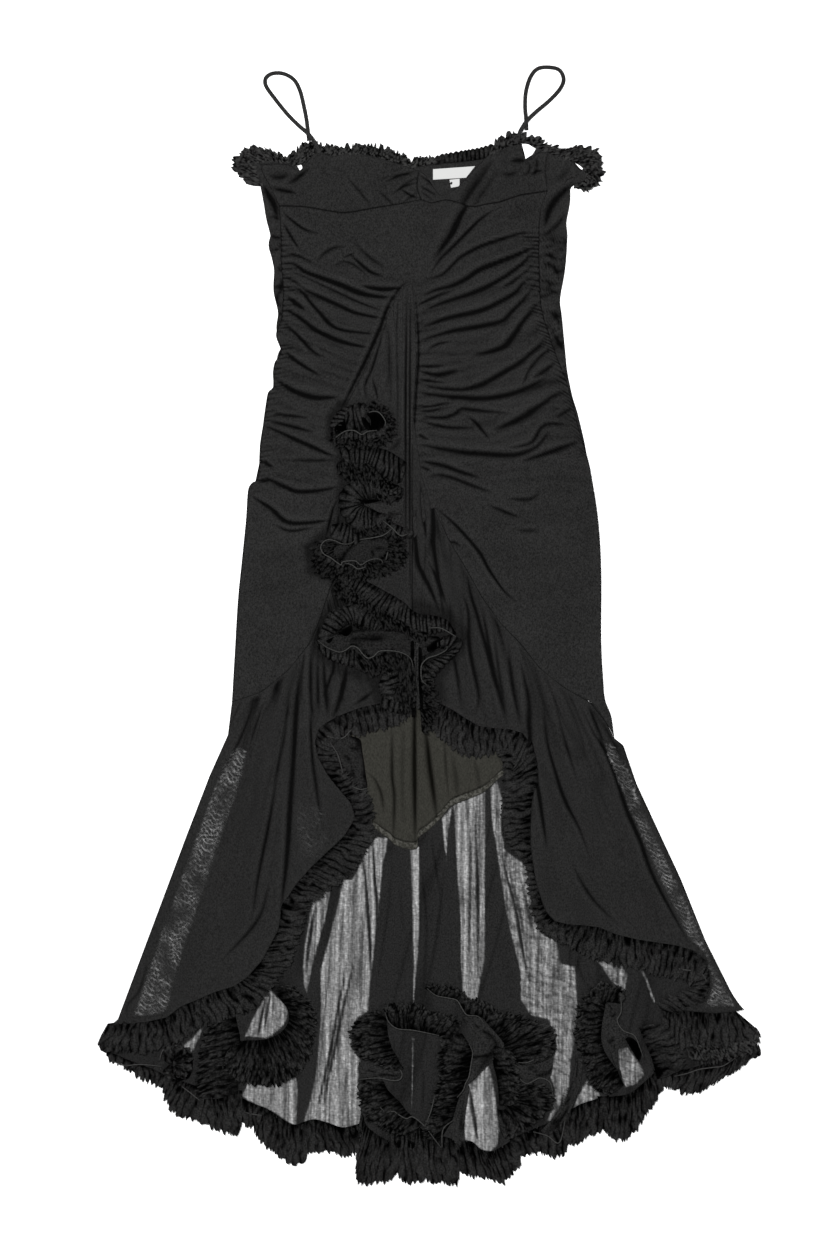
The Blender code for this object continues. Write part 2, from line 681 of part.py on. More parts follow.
# Where the train's hem is turned up, its ruffle lies on the train.
TRAIN_CLUSTER = {
    "turned_ruffle_far_left": Ruffle(
        5,
        [
            Section(274, 993, 292, 988),
            Section(281, 1001, 304, 999),
            Section(287, 1010, 314, 1015),
            Section(287, 1022, 314, 1037),
            Section(281, 1031, 304, 1063),
            Section(269, 1037, 284, 1080),
            Section(256, 1039, 257, 1082),
            Section(246, 1040, 238, 1078),
        ],
    ),
    "turned_ruffle_left_corner": Ruffle(
        2,
        [
            Section(230, 1046, 209, 1040),
            Section(228, 1060, 203, 1060),
            Section(225, 1076, 199, 1077),
            Section(223, 1091, 200, 1093),
        ],
    ),
    "turned_ruffle_top": Ruffle(
        3,
        [
            Section(387, 1017, 381, 1006),
            Section(396, 1025, 395, 1003),
            Section(408, 1031, 411, 1002),
            Section(421, 1033, 425, 1007),
            Section(433, 1036, 438, 1009),
            Section(446, 1037, 456, 1014),
        ],
    ),
    "turned_ruffle_left": Ruffle(
        3,
        [
            Section(378, 1021, 368, 1014),
            Section(375, 1030, 352, 1027),
            Section(374, 1040, 351, 1042),
            Section(375, 1050, 356, 1054),
            Section(378, 1059, 366, 1064),
        ],
    ),
    "turned_ruffle_low": Ruffle(
        3,
        [
            Section(366, 1086, 359, 1110),
            Section(378, 1084, 374, 1119),
            Section(391, 1085, 391, 1122),
            Section(404, 1087, 408, 1120),
        ],
    ),
    "turned_ruffle_right": Ruffle(
        3,
        [
            Section(448, 1045, 463, 1038),
            Section(449, 1058, 471, 1058),
            Section(447, 1075, 468, 1078),
            Section(444, 1092, 462, 1096),
            Section(440, 1108, 455, 1116),
            Section(435, 1120, 446, 1131),
        ],
    ),
    "turned_ruffle_upper_right": Ruffle(
        3,
        [
            Section(481, 1020, 468, 1001),
            Section(491, 1029, 490, 1005),
            Section(501, 1039, 512, 1014),
            Section(509, 1047, 533, 1019),
            Section(517, 1054, 553, 1032),
            Section(528, 1059, 555, 1050),
        ],
    ),
    "turned_ruffle_lower_right": Ruffle(
        3,
        [
            Section(505, 1080, 530, 1074),
            Section(508, 1090, 552, 1087),
            Section(508, 1102, 547, 1105),
            Section(507, 1114, 538, 1121),
            Section(505, 1124, 524, 1134),
        ],
    ),
    "turned_ruffle_side": Ruffle(
        3,
        [
            Section(584, 988, 602, 982),
            Section(580, 1002, 600, 1001),
            Section(579, 1020, 601, 1021),
            Section(578, 1038, 603, 1041),
            Section(578, 1054, 611, 1056),
            Section(580, 1068, 619, 1076),
            Section(583, 1077, 610, 1091),
        ],
    ),
}
train_hem = [ruffle_edges(strip)[0] for strip in TRAIN_HEM.values()]
TRAIN_SIDE_LEFT = smooth_line(
    [(166, 1082), (145, 1073), (124, 1062), (100, 1050), (116, 1026), (144, 960), (174, 880),
     (204, 800), (226, 747), (236, 703)]
)
TRAIN_SIDE_RIGHT = smooth_line(
    [(600, 703), (612, 735), (633, 785), (678, 882), (726, 990), (741, 1024), (757, 1036), (754, 1049)]
)
panel(
    "train",
    [TRAIN_SIDE_LEFT[::-1], *train_hem, TRAIN_SIDE_RIGHT[::-1]],
    FLOOR_LEVEL,
    MESH,
    creases=TRAIN_CREASES,
    flat_under=[
        [YOKE_LEFT, DRAPE_BOTTOM, SLIT_LEFT, ruffle_edges(HEM_LEFT)[1], FLOUNCE_SIDE_LEFT[::-1]],
        [YOKE_RIGHT, FLOUNCE_SIDE_RIGHT, ruffle_edges(HEM_RIGHT_LOW)[1][::-1],
         ruffle_edges(HEM_RIGHT)[1][::-1]],
        *([stitched, free[::-1]] for stitched, free in map(ruffle_edges, TRAIN_CLUSTER.values())),
    ],
    cloth=BACK_CLOTH,
    on_floor=True,
)
for name, strip in TRAIN_HEM.items():
    ruffle(name, strip, 4.0, FLOOR_LEVEL, JERSEY)

# The back lining, seen under the front between the two flounces.
LINING_OUTLINE = smooth_line([(322, 648), (338, 700), (346, 760), (350, 818)])
LINING_HEM_LEFT = smooth_line([(350, 818), (373, 829), (392, 840), (405, 847), (418, 848)])
LINING_HEM_RIGHT = smooth_line(
    [(418, 837), (430, 829), (441, 820), (458, 803), (480, 793), (497, 780), (508, 772)]
)
LINING_SIDE_RIGHT = smooth_line([(508, 772), (512, 740), (506, 700), (500, 648)])
panel(
    "back_lining",
    [LINING_OUTLINE, LINING_HEM_LEFT, LINING_HEM_RIGHT, LINING_SIDE_RIGHT],
    TRAIN_TOP_LEVEL,
    LINING,
    creases=LINING_CREASES,
    flat_under=[
        [ruffle_edges(HEM_LEFT)[1][:34], FLOUNCE_SIDE_LEFT[::-1], YOKE_LEFT, DRAPE_BOTTOM, SLIT_LEFT],
        [SLIT_RIGHT, ruffle_edges(HEM_RIGHT)[1], YOKE_RIGHT[::-1]],
    ],
)

# The front: two bust panels and the ruched body below them.
panel(
    "bust_left", [CUP_TOP_LEFT, CUP_INNER_LEFT, CENTRE_FRONT, BUST_SEAM_LEFT[::-1],
    BUST_SIDE_LEFT[::-1]], FRONT_LEVEL, JERSEY, BUST_LEFT_CREASES
)
panel(
    "bust_right",
    [CENTRE_GATHER, CUP_TOP_RIGHT, CUP_ARM_RIGHT, CUP_OUTER_RIGHT, BUST_SIDE_RIGHT,
     BUST_SEAM_RIGHT[::-1], CENTRE_FRONT[::-1]],
    FRONT_LEVEL,
    JERSEY,
    BUST_RIGHT_CREASES,
)
DRAPE_OUTLINE = [DRAPE_LEFT, DRAPE_HIDDEN, DRAPE_BOTTOM, CENTRE_LINE[::-1], DRAPE_RIGHT[::-1]]
CASCADE_COVER = smooth_line(
    [(345, 403), (328, 420), (330, 445), (342, 480), (338, 500), (345, 530), (318, 536), (312, 552),
     (320, 572), (352, 590), (412, 590), (412, 403)]
)
FAN_OUTLINE = [FAN_EDGE, smooth_line([(434, 508), (434, 560), (412, 560), (412, 415)])]
panel(
    "front_body",
    [BUST_SEAM_LEFT, BUST_SEAM_RIGHT, SIDE_RIGHT, HIP_RIGHT, YOKE_RIGHT[::-1], smooth_line([(434, 508),
     (412, 540)]), YOKE_CENTRE[::-1], YOKE_LEFT[::-1], HIP_LEFT[::-1], SIDE_LEFT[::-1]],
    FRONT_LEVEL,
    JERSEY,
    FRONT_CREASES,
    flat_under=[DRAPE_OUTLINE, [CASCADE_COVER], FAN_OUTLINE],
)

# The draped panel down the centre, and the two flounces gathered into the yoke.
panel(
    "centre_drape", DRAPE_OUTLINE, FLOUNCE_LEVEL, JERSEY, DRAPE_CREASES,
    flat_under=[[smooth_line([(340, 398), (398, 404), (402, 560), (412, 590), (412, 620), (340, 620)])]]
)
panel(
    "flounce_left",
    [YOKE_LEFT, smooth_line([(345, 572), (352, 576)]), DRAPE_BOTTOM, SLIT_LEFT,
     ruffle_edges(HEM_LEFT)[0], FLOUNCE_SIDE_LEFT[::-1]],
    FLOUNCE_LEVEL,
    MESH,
    FLOUNCE_LEFT_CREASES,
    flat_under=[[smooth_line([(330, 584), (316, 612), (312, 642), (345, 668), (380, 680), (380, 700),
     (412, 700), (412, 612)])]],
)
panel(
    "flounce_right",
    [FAN_EDGE, YOKE_RIGHT, FLOUNCE_SIDE_RIGHT, ruffle_edges(HEM_RIGHT_CORNER)[0][::-1],
     smooth_line([(666, 1015), (672, 1012)]), ruffle_edges(HEM_RIGHT_CURL)[0][::-1],
     ruffle_edges(HEM_RIGHT_LOW)[0][::-1],      ruffle_edges(HEM_RIGHT)[0][::-1], SLIT_RIGHT[::-1], CENTRE_LINE[::-1]],
    FLOUNCE_LEVEL,
    MESH,
    FLOUNCE_RIGHT_CREASES,
    flat_under=[[smooth_line([(412, 606), (452, 612), (466, 640), (458, 660), (436, 676), (438, 704),
     (420, 704)])]],
)

# The hem ruffles of the two flounces. They lie over the lining and the train.
ruffle("hem_ruffle_left", HEM_LEFT, 7.0, HEM_RUFFLE_LEVEL, JERSEY)
ruffle("hem_ruffle_right", HEM_RIGHT, 6.0, HEM_RUFFLE_LEVEL, JERSEY)
ruffle("hem_ruffle_right_low", HEM_RIGHT_LOW, 6.0, HEM_RUFFLE_LEVEL, JERSEY)
ruffle("hem_ruffle_right_curl", HEM_RIGHT_CURL, 6.0, HEM_RUFFLE_LEVEL, JERSEY)
ruffle("hem_ruffle_right_corner", HEM_RIGHT_CORNER, 5.0, HEM_RUFFLE_LEVEL, JERSEY)

# The cascade down the centre front, which lies on the drape: each piece is one turn of a gathered strip.
CASCADE = {
    "cascade_rose": Ruffle(
        6,
        [
            Section(367, 437, 353, 446),
            Section(361, 434, 335, 441),
            Section(359, 429, 328, 430),
            Section(360, 423, 333, 416),
            Section(363, 418, 347, 411),
            Section(368, 415, 362, 404),
            Section(374, 414, 375, 408),
            Section(379, 417, 387, 415),
            Section(381, 422, 394, 425),
            Section(381, 428, 395, 436),
            Section(377, 433, 385, 444),
            Section(373, 437, 368, 446),
        ],
    ),
    "cascade_band": Ruffle(
        4,
        [
            Section(350, 449, 343, 463),
            Section(362, 449, 345, 474),
            Section(373, 451, 360, 476),
            Section(382, 454, 377, 472),
            Section(392, 459, 390, 474),
            Section(403, 464, 402, 477),
        ],
    ),
    "cascade_shell": Ruffle(
        6,
        [
            Section(379, 496, 402, 497),
            Section(377, 490, 397, 484),
            Section(373, 487, 379, 479),
            Section(370, 488, 363, 478),
            Section(368, 492, 351, 486),
            Section(366, 497, 341, 496),
            Section(366, 504, 339, 508),
            Section(367, 510, 346, 520),
            Section(370, 515, 357, 531),
            Section(375, 517, 372, 534),
        ],
    ),
    "cascade_loop": Ruffle(
        6,
        [
            Section(342, 545, 330, 537),
            Section(336, 547, 317, 544),
            Section(334, 552, 312, 557),
            Section(337, 556, 317, 569),
            Section(343, 559, 329, 577),
            Section(352, 561, 347, 579),
            Section(362, 562, 362, 579),
            Section(371, 561, 376, 577),
            Section(380, 558, 391, 572),
            Section(386, 552, 402, 563),
            Section(388, 545, 405, 549),
            Section(387, 539, 401, 535),
        ],
    ),
    "cascade_diagonal": Ruffle(
        6,
        [
            Section(358, 583, 342, 588),
            Section(369, 586, 352, 599),
            Section(381, 591, 366, 605),
            Section(392, 598, 379, 612),
            Section(402, 606, 391, 620),
            Section(411, 613, 401, 630),
            Section(423, 617, 415, 640),
            Section(436, 618, 432, 634),
            Section(446, 621, 446, 635),
            Section(453, 628, 455, 638),
        ],
    ),
    "cascade_lobe_left": Ruffle(
        4,
        [
            Section(330, 637, 318, 637),
            Section(336, 631, 324, 622),
            Section(343, 625, 334, 610),
            Section(350, 621, 349, 607),
            Section(357, 621, 363, 606),
            Section(364, 625, 376, 615),
            Section(369, 631, 384, 629),
        ],
    ),
    "cascade_edge": Ruffle(
        5,
        [
            Section(322, 641, 317, 650),
            Section(334, 647, 331, 658),
            Section(347, 648, 344, 663),
            Section(358, 648, 355, 668),
            Section(369, 650, 368, 673),
            Section(382, 649, 383, 673),
            Section(395, 648, 396, 670),
            Section(405, 650, 407, 672),
        ],
    ),
    "cascade_lobe_right": Ruffle(
        4,
        [
            Section(440, 647, 441, 638),
            Section(443, 651, 461, 642),
            Section(437, 655, 453, 657),
            Section(429, 659, 438, 667),
            Section(423, 665, 432, 672),
            Section(421, 674, 433, 680),
            Section(423, 684, 435, 690),
            Section(426, 693, 436, 699),
        ],
    ),
    "cascade_end": Ruffle(
        3,
        [
            Section(395, 679, 379, 677),
            Section(395, 685, 379, 689),
            Section(399, 688, 390, 698),
            Section(404, 687, 403, 697),
            Section(407, 682, 411, 692),
        ],
    ),
}
for name, strip in CASCADE.items():
    ruffle(name, strip, 7.0, CASCADE_LEVEL, JERSEY)

# The turned-up parts of the train's hem ruffle.
for name, strip in TRAIN_CLUSTER.items():
    ruffle(name, strip, 6.0, TRAIN_TOP_LEVEL, JERSEY)

# The ruffle round the back neck and both armhole corners, on the floor beyond the back's edge.
ruffle("neck_ruffle_left", NECK_LEFT, 1.2, FLOOR_LEVEL, JERSEY)
ruffle("neck_ruffle_armhole", NECK_ARMHOLE, 1.2, FLOOR_LEVEL, JERSEY)
ruffle("neck_ruffle_right", NECK_RIGHT, 1.2, FLOOR_LEVEL, JERSEY)

# The straps: each comes off the cup's peak over the ruffle, lies in a loop on the floor, and goes back
# under its own start to the back's edge.
STRAP_LEFT = [
    StrapPoint(319.5, 153.5, 3.5),
    StrapPoint(318, 149, 3.5),
    StrapPoint(313.5, 141, 3.0),
    StrapPoint(308, 134, 1.6),
    StrapPoint(299, 126, 1.0),
    StrapPoint(288, 115, 0),
    StrapPoint(275, 99, 0),
    StrapPoint(266, 86, 0),
    StrapPoint(266, 78, 0),
    StrapPoint(273, 73.5, 0),
    StrapPoint(284, 74, 0),
    StrapPoint(294, 80, 0),
    StrapPoint(300, 91, 0),
    StrapPoint(304, 107, 0),
    StrapPoint(306.5, 120, 0),
    StrapPoint(308, 132, 0),
    StrapPoint(309, 141, 0),
]
STRAP_RIGHT = [
    StrapPoint(516, 144, 3.5),
    StrapPoint(517.5, 139, 3.5),
    StrapPoint(520.5, 131, 2.6),
    StrapPoint(526.5, 121.5, 1.6),
    StrapPoint(536, 112, 0.8),
    StrapPoint(549, 101, 0),
    StrapPoint(560, 89, 0),
    StrapPoint(563.5, 79, 0),
    StrapPoint(559, 70, 0),
    StrapPoint(548, 67.4, 0),
    StrapPoint(537.5, 69, 0),
    StrapPoint(530.5, 77, 0),
    StrapPoint(526, 91, 0),
    StrapPoint(525, 106, 0),
    StrapPoint(526, 120, 0),
    StrapPoint(526.5, 130.5, 0),
]
strap("strap_left", STRAP_LEFT, JERSEY)
strap("strap_right", STRAP_RIGHT, JERSEY)

# The neck label and the size tab under it, both sewn on the back's inside.
panel(
    "neck_label",
    [smooth_line([(433, 169.5), (475, 166.5), (466, 178), (433, 180)], 60.0)],
    TRAIN_TOP_LEVEL,
    WHITE,
    cloth=LABEL_CLOTH,
)
panel(
    "size_tab",
    [smooth_line([(449.5, 180), (459.5, 179), (459.5, 186.5), (451, 188)], 60.0)],
    TRAIN_TOP_LEVEL,
    WHITE,
    cloth=LABEL_CLOTH,
)
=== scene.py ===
"""A black high-low dress, laid out flat and face up, seen from straight above."""

import bpy
import numpy as np
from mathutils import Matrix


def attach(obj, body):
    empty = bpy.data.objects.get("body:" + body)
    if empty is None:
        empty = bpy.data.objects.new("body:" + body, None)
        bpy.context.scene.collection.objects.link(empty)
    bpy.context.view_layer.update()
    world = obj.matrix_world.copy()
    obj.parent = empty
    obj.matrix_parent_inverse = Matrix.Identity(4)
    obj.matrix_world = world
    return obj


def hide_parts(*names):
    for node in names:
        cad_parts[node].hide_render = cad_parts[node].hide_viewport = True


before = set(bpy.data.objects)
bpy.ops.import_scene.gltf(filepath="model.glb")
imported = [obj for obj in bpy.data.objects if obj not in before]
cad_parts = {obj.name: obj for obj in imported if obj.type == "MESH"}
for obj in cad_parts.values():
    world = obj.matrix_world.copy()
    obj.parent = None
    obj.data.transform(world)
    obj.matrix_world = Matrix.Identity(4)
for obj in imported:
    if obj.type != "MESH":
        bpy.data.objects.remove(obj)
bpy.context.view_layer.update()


# The table: a plain white surface, larger than the dress on every side. A soft lamp stands at its upper
# left and a weaker one at its lower right, pale light comes from all round, and the camera looks straight
# down on the picture's middle.

MM = 0.001
PIXEL = 1.25 * MM
DRESS_MIDDLE = np.array([429.5, 626.0])
PICTURE = np.array([832, 1248])
LENS_MM = 85
SENSOR_MM = 36
ROOM_COLOUR = (0.97, 0.985, 1.0, 1)
ROOM_STRENGTH = 0.22
TABLE_HALF = 6
TABLE_TOP = -0.0004
# A lamp's name, its place and the point that it faces, both in metres, its side in metres, and its watts.
LAMPS = [
    ("window_light", (-0.7, 0.6, 2.8), (0, 0, 0), 0.9, 148),
    ("fill_light", (1.8, -1.2, 2.0), (0, -0.1, 0), 1.6, 50),
]


def on_table(places):
    """Places in the picture, x to the right and y down, as metres from the dress's middle, y up."""
    return (np.asarray(places, float)[..., :2] - DRESS_MIDDLE) * (PIXEL, -PIXEL)


view = bpy.data.cameras.new("overhead_camera")
view.lens = LENS_MM
view.sensor_width = SENSOR_MM
camera = bpy.data.objects.new("overhead_camera", view)
camera.location = (*on_table(PICTURE / 2), PICTURE[1] * PIXEL * LENS_MM / SENSOR_MM)
bpy.context.collection.objects.link(camera)
bpy.context.scene.camera = camera
bpy.context.scene.view_settings.view_transform = "Standard"

sky = bpy.data.worlds.new("pale_room")
sky.use_nodes = True
sky.node_tree.nodes["Background"].inputs["Color"].default_value = ROOM_COLOUR
sky.node_tree.nodes["Background"].inputs["Strength"].default_value = ROOM_STRENGTH
bpy.context.scene.world = sky


def soft_light(name, place, aim, size, watts):
    """A square lamp of this size, turned to face a point."""
    lamp = bpy.data.lights.new(name, "AREA")
    lamp.size = size
    lamp.energy = watts
    lit = bpy.data.objects.new(name, lamp)
    lit.location = place
    facing = np.subtract(aim, place)
    yaw, tilt = np.arctan2(facing[0], -facing[1]), np.arccos(-facing[2] / np.linalg.norm(facing))
    lit.rotation_euler = (tilt, 0, yaw + np.pi)
    bpy.context.collection.objects.link(lit)


for lamp in LAMPS:
    soft_light(*lamp)


class Field:
    """A value that varies over a surface. Arithmetic on it adds Math nodes to its material."""

    def __init__(self, finish, socket):
        self.finish, self.socket = finish, socket

    def __add__(self, other):
        return self.finish.node("Math", {"operation": "ADD"}, [self, other])

    def __sub__(self, other):
        return self.finish.node("Math", {"operation": "SUBTRACT"}, [self, other])

    def __rsub__(self, other):
        return self.finish.node("Math", {"operation": "SUBTRACT"}, [other, self])

    def __mul__(self, other):
        return self.finish.node("Math", {"operation": "MULTIPLY"}, [self, other])

    __radd__ = __add__
    __rmul__ = __mul__


class Finish:
    """A material. node() adds any node: its kind, its settings, and then its sockets' values."""

    def __init__(self, name, **values):
        self.material = bpy.data.materials.new(name)
        self.material.use_nodes = True
        self.tree = self.material.node_tree
        self.shader = self.tree.nodes["Principled BSDF"]
        self.show(**values)

    def show(self, **values):
        """Gives the shader's sockets, named with _ for each space, a number, a colour or a Field each."""
        for socket, value in values.items():
            self.feed(self.shader.inputs[socket.replace("_", " ")], value)

    def feed(self, socket, value):
        if isinstance(value, Field):
            self.tree.links.new(value.socket, socket)
        else:
            socket.default_value = value

    def node(self, kind, settings, sockets, output=0):
        made = self.tree.nodes.new("ShaderNode" + kind)
        for key, value in settings.items():
            setattr(made, key, value)
        for key, value in sockets.items() if isinstance(sockets, dict) else enumerate(sockets):
            self.feed(made.inputs[key], value)
        return Field(self, made.outputs[output])

    def mask(self, name):
        """A piece's own attribute."""
        return self.node("Attribute", {"attribute_name": name}, {}, output="Fac")

    def grain(self, scale, detail, stretch=(1, 1, 1)):
        """Noise in the piece's own space, stretched along its axes."""
        place = self.node("TexCoord", {}, {}, output="Object")
        place = self.node("Mapping", {}, {"Vector": place, "Scale": stretch})
        return self.node("TexNoise", {}, {"Vector": place, "Scale": scale, "Detail": detail})

    def ramp(self, value, low, high):
        """A field's even rise from 0 where it is low to 1 where it is high."""
        return self.node("MapRange", {}, {0: value, 1: low, 2: high})

    def blend(self, low, high, share):
        """A colour, plain or varying, that turns into a plain one."""
        first = low if isinstance(low, Field) else (*low, 1)
        return self.node("Mix", {"data_type": "RGBA"}, {0: share, 6: first, 7: (*high, 1)}, output=2)

    def raised(self, height, depth):
        """A fine relief, this deep in metres, at half strength."""
        return self.node("Bump", {}, {"Height": height, "Distance": depth, "Strength": 0.5})


def grid_faces(down, across):
    """The four corners of every cell of a grid whose points run along its rows."""
    first = np.arange(down - 1)[:, None] * across + np.arange(across - 1)
    return np.stack([first, first + across, first + across + 1, first + 1], axis=-1).reshape(-1, 4)


def add_piece(name, points, faces, finish, **attributes):
    """A smooth mesh object of points in metres, with its attributes, one number for each point."""
    mesh = bpy.data.meshes.new(name)
    mesh.vertices.add(len(points))
    mesh.vertices.foreach_set("co", points.astype(np.float32).ravel())
    mesh.loops.add(faces.size)
    mesh.loops.foreach_set("vertex_index", faces.astype(np.int32).ravel())
    mesh.polygons.add(len(faces))
    mesh.polygons.foreach_set("loop_start", np.arange(len(faces), dtype=np.int32) * faces.shape[1])
    mesh.update(calc_edges=True)
    mesh.shade_smooth()
    for key, values in attributes.items():
        layer = mesh.attributes.new(key, "FLOAT", "POINT")
        layer.data.foreach_set("value", np.ascontiguousarray(values, np.float32).ravel())
    mesh.materials.append(finish.material)
    piece = bpy.data.objects.new(name, mesh)
    bpy.context.collection.objects.link(piece)
    return piece


def add_cloth(name, places, height, finish, **attributes):
    """The object of a grid of places in the picture at these heights in mm."""
    points = np.dstack([on_table(places), height * MM]).reshape(-1, 3)
    return add_piece(name, points, grid_faces(*places.shape[:2]), finish, **attributes)


table_finish = Finish("white_table", Base_Color=(0.9, 0.9, 0.9, 1), Roughness=0.9)
corners = [(TABLE_HALF * x, TABLE_HALF * y, TABLE_TOP) for x, y in ((-1, 1), (-1, -1), (1, -1), (1, 1))]
table = add_piece("table", np.array(corners), np.array([[0, 1, 2, 3]]), table_finish)


# The back body: one piece of black stretch jersey from the back neckline to the hips. The front lies on it,
# so it shows only beyond the side seams, as the wing at the right armhole, and inside the neckline.

MATT = {"Roughness": 0.9, "Specular_IOR_Level": 0}
# The near-black colour that painted shade turns the cloth towards.
BLACK = (0.0004, 0.0004, 0.0004)
# The painted shade of a place, mostly of its creases: below 0 it is a painted highlight on a pale ridge,
# and it stays short of 1 in the darkest painted hollow.
PALEST, DARKEST = -0.25, 0.88
# Heights over the table in mm: the panel's level, and the lowest that its cloth may lie.
BACK_LEVEL, BACK_LOWEST = 1.9, 0.2


def smooth_rows(rows, at):
    """A cubic through every row of a table (Catmull-Rom), read at fractional row numbers."""
    rows = np.asarray(rows, float)
    last = len(rows) - 1
    first = np.clip(np.floor(at).astype(int), 0, last - 1)
    t = (np.asarray(at) - first)[:, None]
    a, b = rows[np.maximum(first - 1, 0)], rows[first]
    c, d = rows[first + 1], rows[np.minimum(first + 2, last)]
    return 0.5 * (2 * b + (c - a) * t + (2 * a - 5 * b + 4 * c - d) * t**2 + (3 * b - a - 3 * c + d) * t**3)


def spaced(rows, count, key=slice(None)):
    """Rows read smoothly at even steps along the line that the key columns give."""
    fine = np.linspace(0, len(rows) - 1, 24 * len(rows))
    line = smooth_rows(rows, fine)[:, key]
    along = np.append(0, np.cumsum(np.linalg.norm(np.diff(line, axis=0), axis=1)))
    return smooth_rows(rows, np.interp(np.linspace(0, along[-1], count), along, fine))


def patch(top, bottom, left, right, across, down):
    """A grid of places between four edges (Coons): both pairs of edges blended, less the four corners."""
    u, v = np.linspace(0, 1, across)[None, :, None], np.linspace(0, 1, down)[:, None, None]
    over, under = spaced(top, across)[None], spaced(bottom, across)[None]
    west, east = spaced(left, down)[:, None], spaced(right, down)[:, None]
    upper = (1 - u) * over[:, :1] + u * over[:, -1:]
    lower = (1 - u) * under[:, :1] + u * under[:, -1:]
    return (1 - v) * over + v * under + (1 - u) * west + u * east - ((1 - v) * upper + v * lower)


def rolled(places, width, sides="lrtb"):
    """How far down a panel's edge has rolled: 1 on the edge, 0 from width inwards, a quarter circle."""
    rows, columns = (np.linalg.norm(np.diff(places, axis=axis), axis=2) for axis in (1, 0))
    zero_row, zero_column = np.zeros((len(places), 1)), np.zeros((1, places.shape[1]))
    left = np.hstack([zero_row, np.cumsum(rows, axis=1)])
    top = np.vstack([zero_column, np.cumsum(columns, axis=0)])
    gaps = {"l": left, "r": left[:, -1:] - left, "t": top, "b": top[-1:] - top}
    near = np.clip(np.minimum.reduce([gaps[side] for side in sides]) / width, 0, 1)
    return 1 - np.sqrt(1 - (1 - near) ** 2)


def swell(places, size, seed, lean=(1, 1)):
    """Slow uneven swelling, mostly from -1 to 1: a quarter of the sum of eight waves that are about this
    long and run in any direction. Less lean along an axis makes them longer on it."""
    draw = np.random.default_rng(seed)
    total = 0
    spans = (0, np.pi), (0, 6.3), (0.7, 1.5)
    for turn, phase, stretch in zip(*(draw.uniform(*span, 8) for span in spans)):
        way = places[..., 0] * np.cos(turn) * lean[0] + places[..., 1] * np.sin(turn) * lean[1]
        total = total + np.sin(2 * np.pi * way / size * stretch + phase)
    return total / 4


def folded(places, folds):
    """(height, shade) of creases. A row is a crease's half width in pixels, its depth in mm and its points.
    Across it the height is a trough, a narrow bell in a wide one, with a low ridge on the upper side, and
    along it both narrow and fade out at the ends. The shade is painted shade, a bell too, wider on the
    upper side, where the roll above the crease turns away from the light."""
    height, shade = np.zeros(places.shape[:2]), np.zeros(places.shape[:2])
    flat = places.reshape(-1, 2)
    for half, depth, points in folds:
        line = spaced(points, 4 * len(points))
        reach = 5 * half
        low, high = line.min(axis=0) - reach, line.max(axis=0) + reach
        near = np.flatnonzero(((flat > low) & (flat < high)).all(axis=1))
        start, run = line[:-1], np.diff(line, axis=0)
        off = flat[near][:, None] - start
        t = np.clip((off * run).sum(axis=2) / (run**2).sum(axis=1), 0, 1)
        off -= t[..., None] * run
        nearest = np.linalg.norm(off, axis=2).argmin(axis=1)
        row = np.arange(len(near))
        off, t, run = off[row, nearest], t[row, nearest], run[nearest]
        away = (run[:, 0] * off[:, 1] - run[:, 1] * off[:, 0]) / np.linalg.norm(run, axis=1)
        level = np.abs(run[:, 0]) > np.abs(run[:, 1])
        away = away * np.where(level, -np.sign(run[:, 0]), np.sign(run[:, 1]))
        far = np.linalg.norm(off, axis=1)
        ends = np.clip(np.sin(np.pi * (nearest + t) / len(start)), 0, 1) ** 0.75
        half = half * (0.4 + 0.6 * ends)
        side = away / half
        trough = -0.75 * np.exp(-((far / half) ** 2)) - 0.4 * np.exp(-((far / half / 2.6) ** 2))
        trough = trough + 0.6 * np.exp(-(((side - 2.6) / 1.5) ** 2))
        np.add.at(height.reshape(-1), near, depth * trough * ends)
        # Painted shade: a bell across the crease, wider on its upper side.
        bell = np.exp(-((far / half / np.where(side > 0, 1.3, 0.6)) ** 2))
        np.add.at(shade.reshape(-1), near, min(depth, 1.6) / 2 * bell * ends)
    return height, np.clip(shade, 0, 1)


def black_knit(name, colour):
    """Matt jersey: the cloth's colour turns dark with painted shade in its creases and pale with painted
    highlights on its ridges. Its grain is noise drawn out along the wales, worn in places, and the same
    grain is a fine relief."""
    knit = Finish(name, **MATT)
    fine = knit.grain(700, 1, (1, 0.7, 1))
    # Painted shade: the crease shade takes colour away, and below 0 adds a painted highlight.
    share = (1 - knit.mask("crease")) * (0.5 + 0.25 * knit.grain(14, 3) + 1.3 * (fine - 0.5))
    knit.show(Base_Color=knit.blend(BLACK, colour, share), Normal=knit.raised(fine, 0.00025))
    return knit


def hollows(height):
    """How far each place lies below its surroundings: the height after 10 and after 50 rounds of averaging
    with its four neighbours, less the height, and the mean of the two. As painted shade it is what makes a
    fold's foot dark. Where a place lies above them it is negative and 0.4 of that, a painted highlight
    which makes a ridge pale."""
    smooth, below = height, 0
    for step in range(1, 51):
        padded = np.pad(smooth, 1, mode="edge")
        smooth = (padded[:-2, 1:-1] + padded[2:, 1:-1] + padded[1:-1, :-2] + padded[1:-1, 2:]) / 4
        if step in (10, 50):
            below = below + np.maximum(smooth - height, 0.4 * (smooth - height)) / 2
    return below


def uneven(x, y, seed):
    """Noise from 0 to 1: random numbers at whole places and a smooth blend of the nearest four between."""
    table = np.random.default_rng(seed).random((64, 64))
    i, j = np.floor(x).astype(int), np.floor(y).astype(int)
    a, b = x - i, y - j
    a, b = a * a * (3 - 2 * a), b * b * (3 - 2 * b)
    upper, lower = ((1 - a) * table[i % 64, k % 64] + a * table[(i + 1) % 64, k % 64] for k in (j, j + 1))
    return (1 - b) * upper + b * lower


def lines(noise, width):
    """1 along the lines where a noise is a half, falling to 0 over this change of the noise."""
    return np.clip(1 - np.abs(noise - 0.5) / width, 0, 1) ** 1.5


jersey = black_knit("black_jersey", (0.0171, 0.017, 0.0168))
